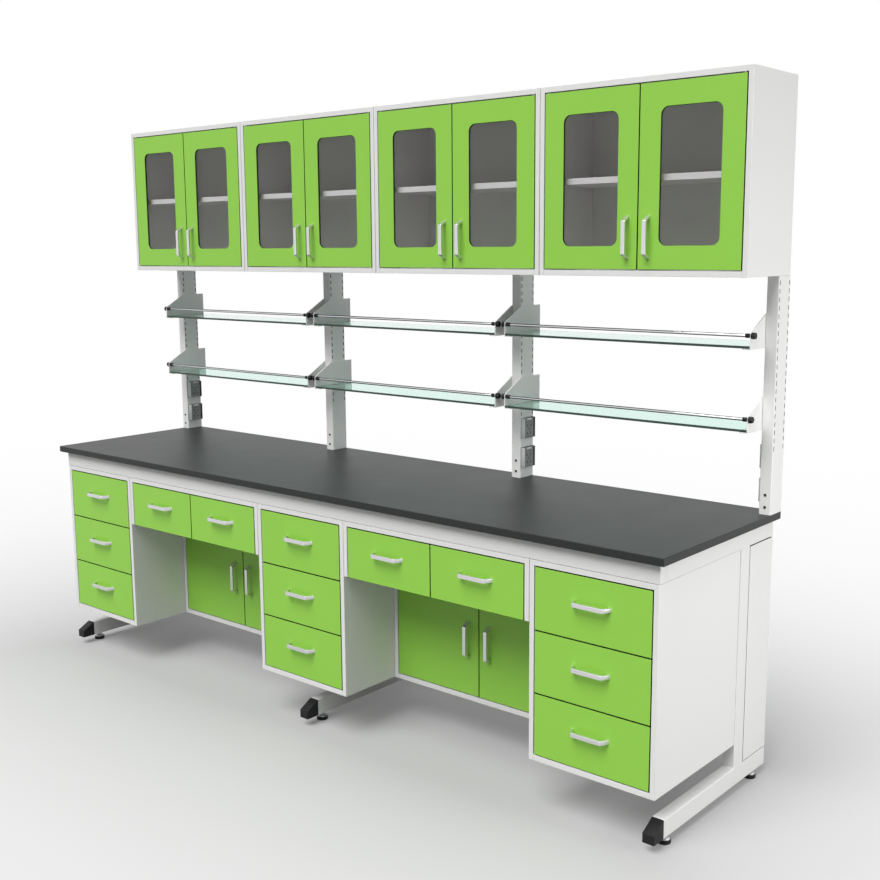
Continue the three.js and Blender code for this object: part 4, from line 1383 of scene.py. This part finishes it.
class BENCH_OT_cradles(Builder, bpy.types.Operator):
    """Models the shelf brackets with their lugs, the guard rails, sleeves and lobed knobs"""

    bl_idname = "bench.cradles"
    bl_label = "Brackets and rails"

    lobes: bpy.props.IntProperty(name="Lobes", description="Lobes of a knob", default=6, min=3)
    waist: number("Waist", "Share of a knob's radius between its lobes", 0.72)
    knob_rim: length("Knob rim", "Width of the rounding at a knob's ends", 0.0012)
    dimple_in: length("Dimple margin", "Margin round the dimple in a knob's end", 0.003)
    dimple: length("Dimple", "Depth of the dimple in a knob's end", 0.0008)

    def build(self, s):
        post_front = box("post_1")[0].y
        rear = box("cradle_lower_2")[1].y
        wall = post_centre(s, 2) - s.post_wide / 2 - s.seat
        outer = wall - centre("cradle_lower_2")
        front = post_front - s.plate_reach
        rail_at = Vector((0, front + s.rail_setback, s.rail_rise))
        bracket = self.bracket_pattern(s, front, post_front, rear, outer)
        knob = self.knob_pattern(s)
        rail = drum(rail_at - RIGHT * outer, RIGHT, s.rail_radius, 2 * outer, sides=32)
        polish(rail, ROUND["rail"], "chrome", "dark_steel_and_painted_rail_reflection")
        # painted reflection: the rail's top and bottom faces get the dark steel
        sort_faces(rail, lambda face: abs(face.normal.z) > s.rail_painted_band)
        sleeve_at = rail_at + RIGHT * (outer - s.plate + FIT)
        sleeve = drum(sleeve_at, -RIGHT, s.sleeve_radius, s.sleeve, sides=28)
        sink(sleeve, -RIGHT, s.sleeve_radius - s.rail_radius - s.seat, s.sleeve_bore)
        polish(sleeve, ROUND["sleeve"], "black")
        for bay in BAYS:
            node = f"cradle_{bay}"
            at = Vector((centre(node), 0, box(f"shelf_glass_{bay}")[0].z - s.seat))
            stamp(rail, f"{node}_rail", "bench", at)
            for label, side in SIDES:
                turn = MIRROR_X if side < 0 else None
                nodes = [node] if side < 0 else []
                stamp(bracket, f"{node}_bracket_{label}", "bench", at, turn, nodes)
                stamp(sleeve, f"{node}_sleeve_{label}", "bench", at, turn)
                spot = at + rail_at + RIGHT * side * (outer - FIT)
                stamp(knob, f"{node}_knob_{label}", "bench", spot, turn)
        discard(bracket, knob, rail, sleeve)

    def bracket_pattern(self, s, front, post_front, rear, outer):
        """Right-hand bracket: sloping cheek with a ledge for the glass and lugs for the post's slots"""
        plate = cuboid((outer - s.plate, post_front, -s.plate), (outer, rear, s.plate_high))
        with shaping(plate):
            grow(plate, -BACK, post_front - front)
            nose, top = front + NEAR, s.plate_high - NEAR
            choose(plate, "EDGE", lambda at, way: at.y < nose and at.z > top)
            bpy.ops.transform.translate(value=(0, 0, s.plate_nose - s.plate_high))
            bisect(0)
            grow(plate, -RIGHT, s.ledge, lambda at: at.z < 0)
        soften(plate, ROUND["bracket"])
        parts = [plate]
        half = s.slot_wide / 2 - s.seat
        for y in (post_front + s.slot_edge, post_front + s.post_deep - s.slot_edge):
            for step in (0, 2):
                rest = s.lug_rise + step * s.slot_pitch - s.slot_high / 2 + s.seat
                lug_low = (outer - LAP, y - half, rest)
                lug = cuboid(lug_low, (outer + s.lug, y + half, rest + s.lug_high))
                soften(lug, ROUND["lug"])
                parts.append(lug)
        whole = joined(parts)
        smooth(whole)
        dress(whole, "coat")
        return whole

    def knob_pattern(self, s):
        """Lobed clamp knob pointing along X from x = 0"""
        knob = drum((0, 0, 0), RIGHT, s.knob_radius, s.knob, sides=2 * self.lobes)
        pitch = 360 / self.lobes

        def valley(at, way):
            turn = math.degrees(math.atan2(at.z, at.y)) % pitch
            return abs(turn - pitch / 2) < pitch / 12

        with shaping(knob):
            choose(knob, "VERT", valley)
            bpy.ops.transform.resize(value=(1, self.waist, self.waist))
            choose(knob, "FACE", lambda at, way: abs(way.x) > PARALLEL)
            bpy.ops.mesh.inset(thickness=self.knob_rim, use_individual=True)
        sink(knob, RIGHT, self.dimple_in, self.dimple)
        modify(knob, "SUBSURF", levels=2, render_levels=2)
        low = min(vertex.co.x for vertex in knob.data.vertices)
        knob.data.transform(Matrix.Translation((-low, 0, 0)))
        smooth(knob, 60)
        dress(knob, "black")
        return knob


class BENCH_OT_glass(Builder, bpy.types.Operator):
    """Models the glass shelves with polished edges and finishes the door panes"""

    bl_idname = "bench.glass"
    bl_label = "Glass"

    def build(self, s):
        low, high = box("shelf_glass_lower_2")
        pattern = cuboid(low, high)
        soften(pattern, ROUND["glass"])
        smooth(pattern, 20)
        dress(pattern, "glass", "edge")
        sort_faces(pattern, lambda face: abs(face.normal.z) <= GLASS_FACE)
        for bay in BAYS:
            node = f"shelf_glass_{bay}"
            shift = box(node)[0] - low
            stamp(pattern, f"{node}_sheet", "bench", shift, nodes=[node])
        discard(pattern)
        for name in CABINETS:
            for label, _ in SIDES:
                dress(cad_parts[f"{name}_pane_{label}"], "pane")


class BENCH_OT_stage(Builder, bpy.types.Operator):
    """Sets the floor, the lights, the world and the camera"""

    bl_idname = "bench.stage"
    bl_label = "Stage"

    dome_low: number("Dome rim", "Strength of the soft light at the horizon", 0.03)
    dome_high: number("Dome band", "Strength of the soft light at 40 degrees", 0.62)
    key_power: number("Key", "Strength of the key light in W/m2", 2.75)
    key_rise: angle("Key height", "Elevation of the key light", math.radians(55))
    key_turn: angle("Key turn", "Turn of the key light to the right", 0.0)
    key_spread: angle("Key spread", "Angle that the key light fills", math.radians(40))
    side_power: number("Side", "Power of the side light in watts", 36.0)
    side_at: point("Side place", "Place of the side light", (3.9, 0.1, 1.1))
    side_aim: point("Side aim", "Point that the side light looks at", (1.5, 0.0, 1.1))
    side_size: length("Side size", "Width of the side light", 1.5)
    floor_size: length("Floor size", "Width of the floor", 60.0)
    floor_drop: length("Floor drop", "Floor below the feet", 0.0005)
    bounce: number("Bounce", "Share of its light that the floor gives back to the bench", 0.54)
    veil: number("Veil", "White that lightens the shadow on the floor", 0.12)
    fade: length("Fade", "Distance from the bench over which the floor turns white", 1.2)
    sensor: number("Sensor", "Width of the square sensor in mm", 36.0)
    lens: number("Lens", "Focal length in mm", 47.95)
    reach: length("Reach", "How far the camera sees", 200.0)
    yaw: angle("Yaw", "Turn of the view to the left", 0.70556)
    pitch: angle("Pitch", "Rise of the view", -0.16406)
    roll: angle("Roll", "Tilt of the view", -0.0074)
    stand: point(
        "Stand", "Camera from the middle of the worktop's front edge, above the floor",
        (3.06006, -2.77838, 1.75378),
    )

    white = (1, 1, 1, 1)
    dome_scale = 27 / 4     # makes the highest value of rise * rise * (1 - rise) one

    def build(self, s):
        self.floor()
        self.lights()
        self.world()
        self.camera()
        bpy.context.scene.view_settings.view_transform = "Standard"

    def seen(self, wire):
        """1 for the rays that show the surroundings, 0 for those that light the bench"""
        kinds = ("Camera", "Glossy", "Transmission")
        rays = [wire.node("ShaderNodeLightPath", out=f"Is {kind} Ray") for kind in kinds]
        return rays[0].most(rays[1]).most(rays[2])

    def floor(self):
        """Pale floor that keeps the bench's shadow and turns white away from it"""
        clear()
        bpy.ops.mesh.primitive_plane_add(size=self.floor_size, location=(0, 0, -self.floor_drop))
        ground = settle()
        ground.name = "floor"
        tone = bpy.context.scene.bench_colours.floor

        def make(wire):
            base = wire.blend(wire.noise(1.2, 2.0), shade(tone, 0.985), shade(tone, 1.015))
            return {"Base Color": wire.blend(self.seen(wire), shade(tone, self.bounce), base)}

        material = finish("floor_paint", make, Roughness=0.85, Specular_IOR_Level=0.1)
        tree = material.node_tree
        wire = Wire(tree)
        output = next(node for node in tree.nodes if node.type == "OUTPUT_MATERIAL")
        painted = Wire(tree, output.inputs["Surface"].links[0].from_socket)
        beyond = wire.vector("SUBTRACT", wire.vector("ABSOLUTE", wire.place()), CAD_BOX[1])
        away = wire.vector("LENGTH", wire.vector("MAXIMUM", beyond, (0, 0, 0)), out="Value")
        far = 1.0 - (1.0 - self.veil) * math.exp(-1 / self.fade) ** away
        glow = wire.node("ShaderNodeEmission", None, {"Color": self.white, "Strength": 1.0})
        mixed = wire.node("ShaderNodeMixShader", None, {0: far * self.seen(wire), 1: painted, 2: glow})
        tree.links.new(mixed.socket, output.inputs["Surface"])
        ground.data.materials.append(material)

    def lights(self):
        """Wide key light from the front and a round lamp at the right end"""
        clear()
        turn = (math.pi / 2 - self.key_rise, 0, self.key_turn)
        bpy.ops.object.light_add(type="SUN", location=(0, -4, 6), rotation=turn)
        key = bpy.context.object
        key.name = "light_key"
        key.data.energy = self.key_power
        key.data.angle = self.key_spread
        clear()
        aim = (Vector(self.side_aim) - Vector(self.side_at)).to_track_quat("-Z", "Y").to_euler()
        bpy.ops.object.light_add(type="AREA", location=self.side_at, rotation=aim)
        lamp = bpy.context.object
        lamp.name = "light_side"
        lamp.data.shape = "DISK"
        lamp.data.size = self.side_size
        lamp.data.energy = self.side_power
        lamp.visible_camera = False

    def world(self):
        """White to look at; as light, a soft band of sky"""
        world = bpy.data.worlds.new("studio")
        bpy.context.scene.world = world
        world.use_nodes = True
        tree = world.node_tree
        tree.nodes.clear()
        wire = Wire(tree)
        shown = wire.node("ShaderNodeBackground", None, {"Color": self.white, "Strength": 1.0})
        way = wire.node("ShaderNodeTexCoord", out="Generated")
        rise = wire.node("ShaderNodeSeparateXYZ", None, {0: way}, "Z").most(0.0)
        strength = self.dome_low + self.dome_scale * self.dome_high * rise * rise * (1.0 - rise)
        soft = wire.node("ShaderNodeBackground", None, {"Color": self.white, "Strength": strength})
        mixed = wire.node("ShaderNodeMixShader", None, {0: self.seen(wire), 1: soft, 2: shown})
        wire.node("ShaderNodeOutputWorld", None, {"Surface": mixed})

    def camera(self):
        clear()
        stand = Vector(self.stand) + BACK * box("worktop")[0].y
        bpy.ops.object.camera_add(location=stand)
        camera = bpy.context.object
        level = math.cos(self.pitch)
        ahead = Vector((-math.sin(self.yaw) * level, math.cos(self.yaw) * level, math.sin(self.pitch)))
        right = ahead.cross(UP).normalized()
        up = right.cross(ahead)
        tilted = math.cos(self.roll) * right + math.sin(self.roll) * up
        above = -math.sin(self.roll) * right + math.cos(self.roll) * up
        turn = Matrix((tilted, above, -ahead)).transposed().to_4x4()
        camera.matrix_world = Matrix.Translation(stand) @ turn
        camera.data.sensor_width = self.sensor
        camera.data.sensor_height = self.sensor
        camera.data.sensor_fit = "HORIZONTAL"
        camera.data.lens = self.lens
        camera.data.clip_end = self.reach
        bpy.context.scene.camera = camera


OPERATORS = (
    BENCH_OT_worktop,
    BENCH_OT_leg_frames,
    BENCH_OT_foot_fittings,
    BENCH_OT_pedestals,
    BENCH_OT_knee_units,
    BENCH_OT_drawers,
    BENCH_OT_knee_doors,
    BENCH_OT_cabinets,
    BENCH_OT_cabinet_doors,
    BENCH_OT_posts,
    BENCH_OT_sockets,
    BENCH_OT_cradles,
    BENCH_OT_glass,
    BENCH_OT_stage,
)


class BENCH_PT_pieces(bpy.types.Panel):
    """Lists the bench's pieces in the sidebar"""

    bl_idname = "BENCH_PT_pieces"
    bl_label = "Laboratory bench"
    bl_space_type = "VIEW_3D"
    bl_region_type = "UI"
    bl_category = "Bench"

    def draw(self, context):
        for operator in OPERATORS:
            self.layout.operator(operator.bl_idname)
        for group in (context.scene.bench_sizes, context.scene.bench_colours):
            for key in group.bl_rna.properties.keys():
                if key not in ("rna_type", "name"):
                    self.layout.prop(group, key)


CLASSES = (BenchSizes, BenchColours, *OPERATORS, BENCH_PT_pieces)


def register():
    for item in CLASSES:
        bpy.utils.register_class(item)
    bpy.types.Scene.bench_sizes = bpy.props.PointerProperty(type=BenchSizes)
    bpy.types.Scene.bench_colours = bpy.props.PointerProperty(type=BenchColours)


def unregister():
    del bpy.types.Scene.bench_colours
    del bpy.types.Scene.bench_sizes
    for item in reversed(CLASSES):
        bpy.utils.unregister_class(item)


def main():
    register()
    FINISHES.update(make_finishes(bpy.context.scene.bench_colours))
    for operator in OPERATORS:
        group, name = operator.bl_idname.split(".")
        getattr(getattr(bpy.ops, group), name)()


if __name__ == "__main__":
    main()
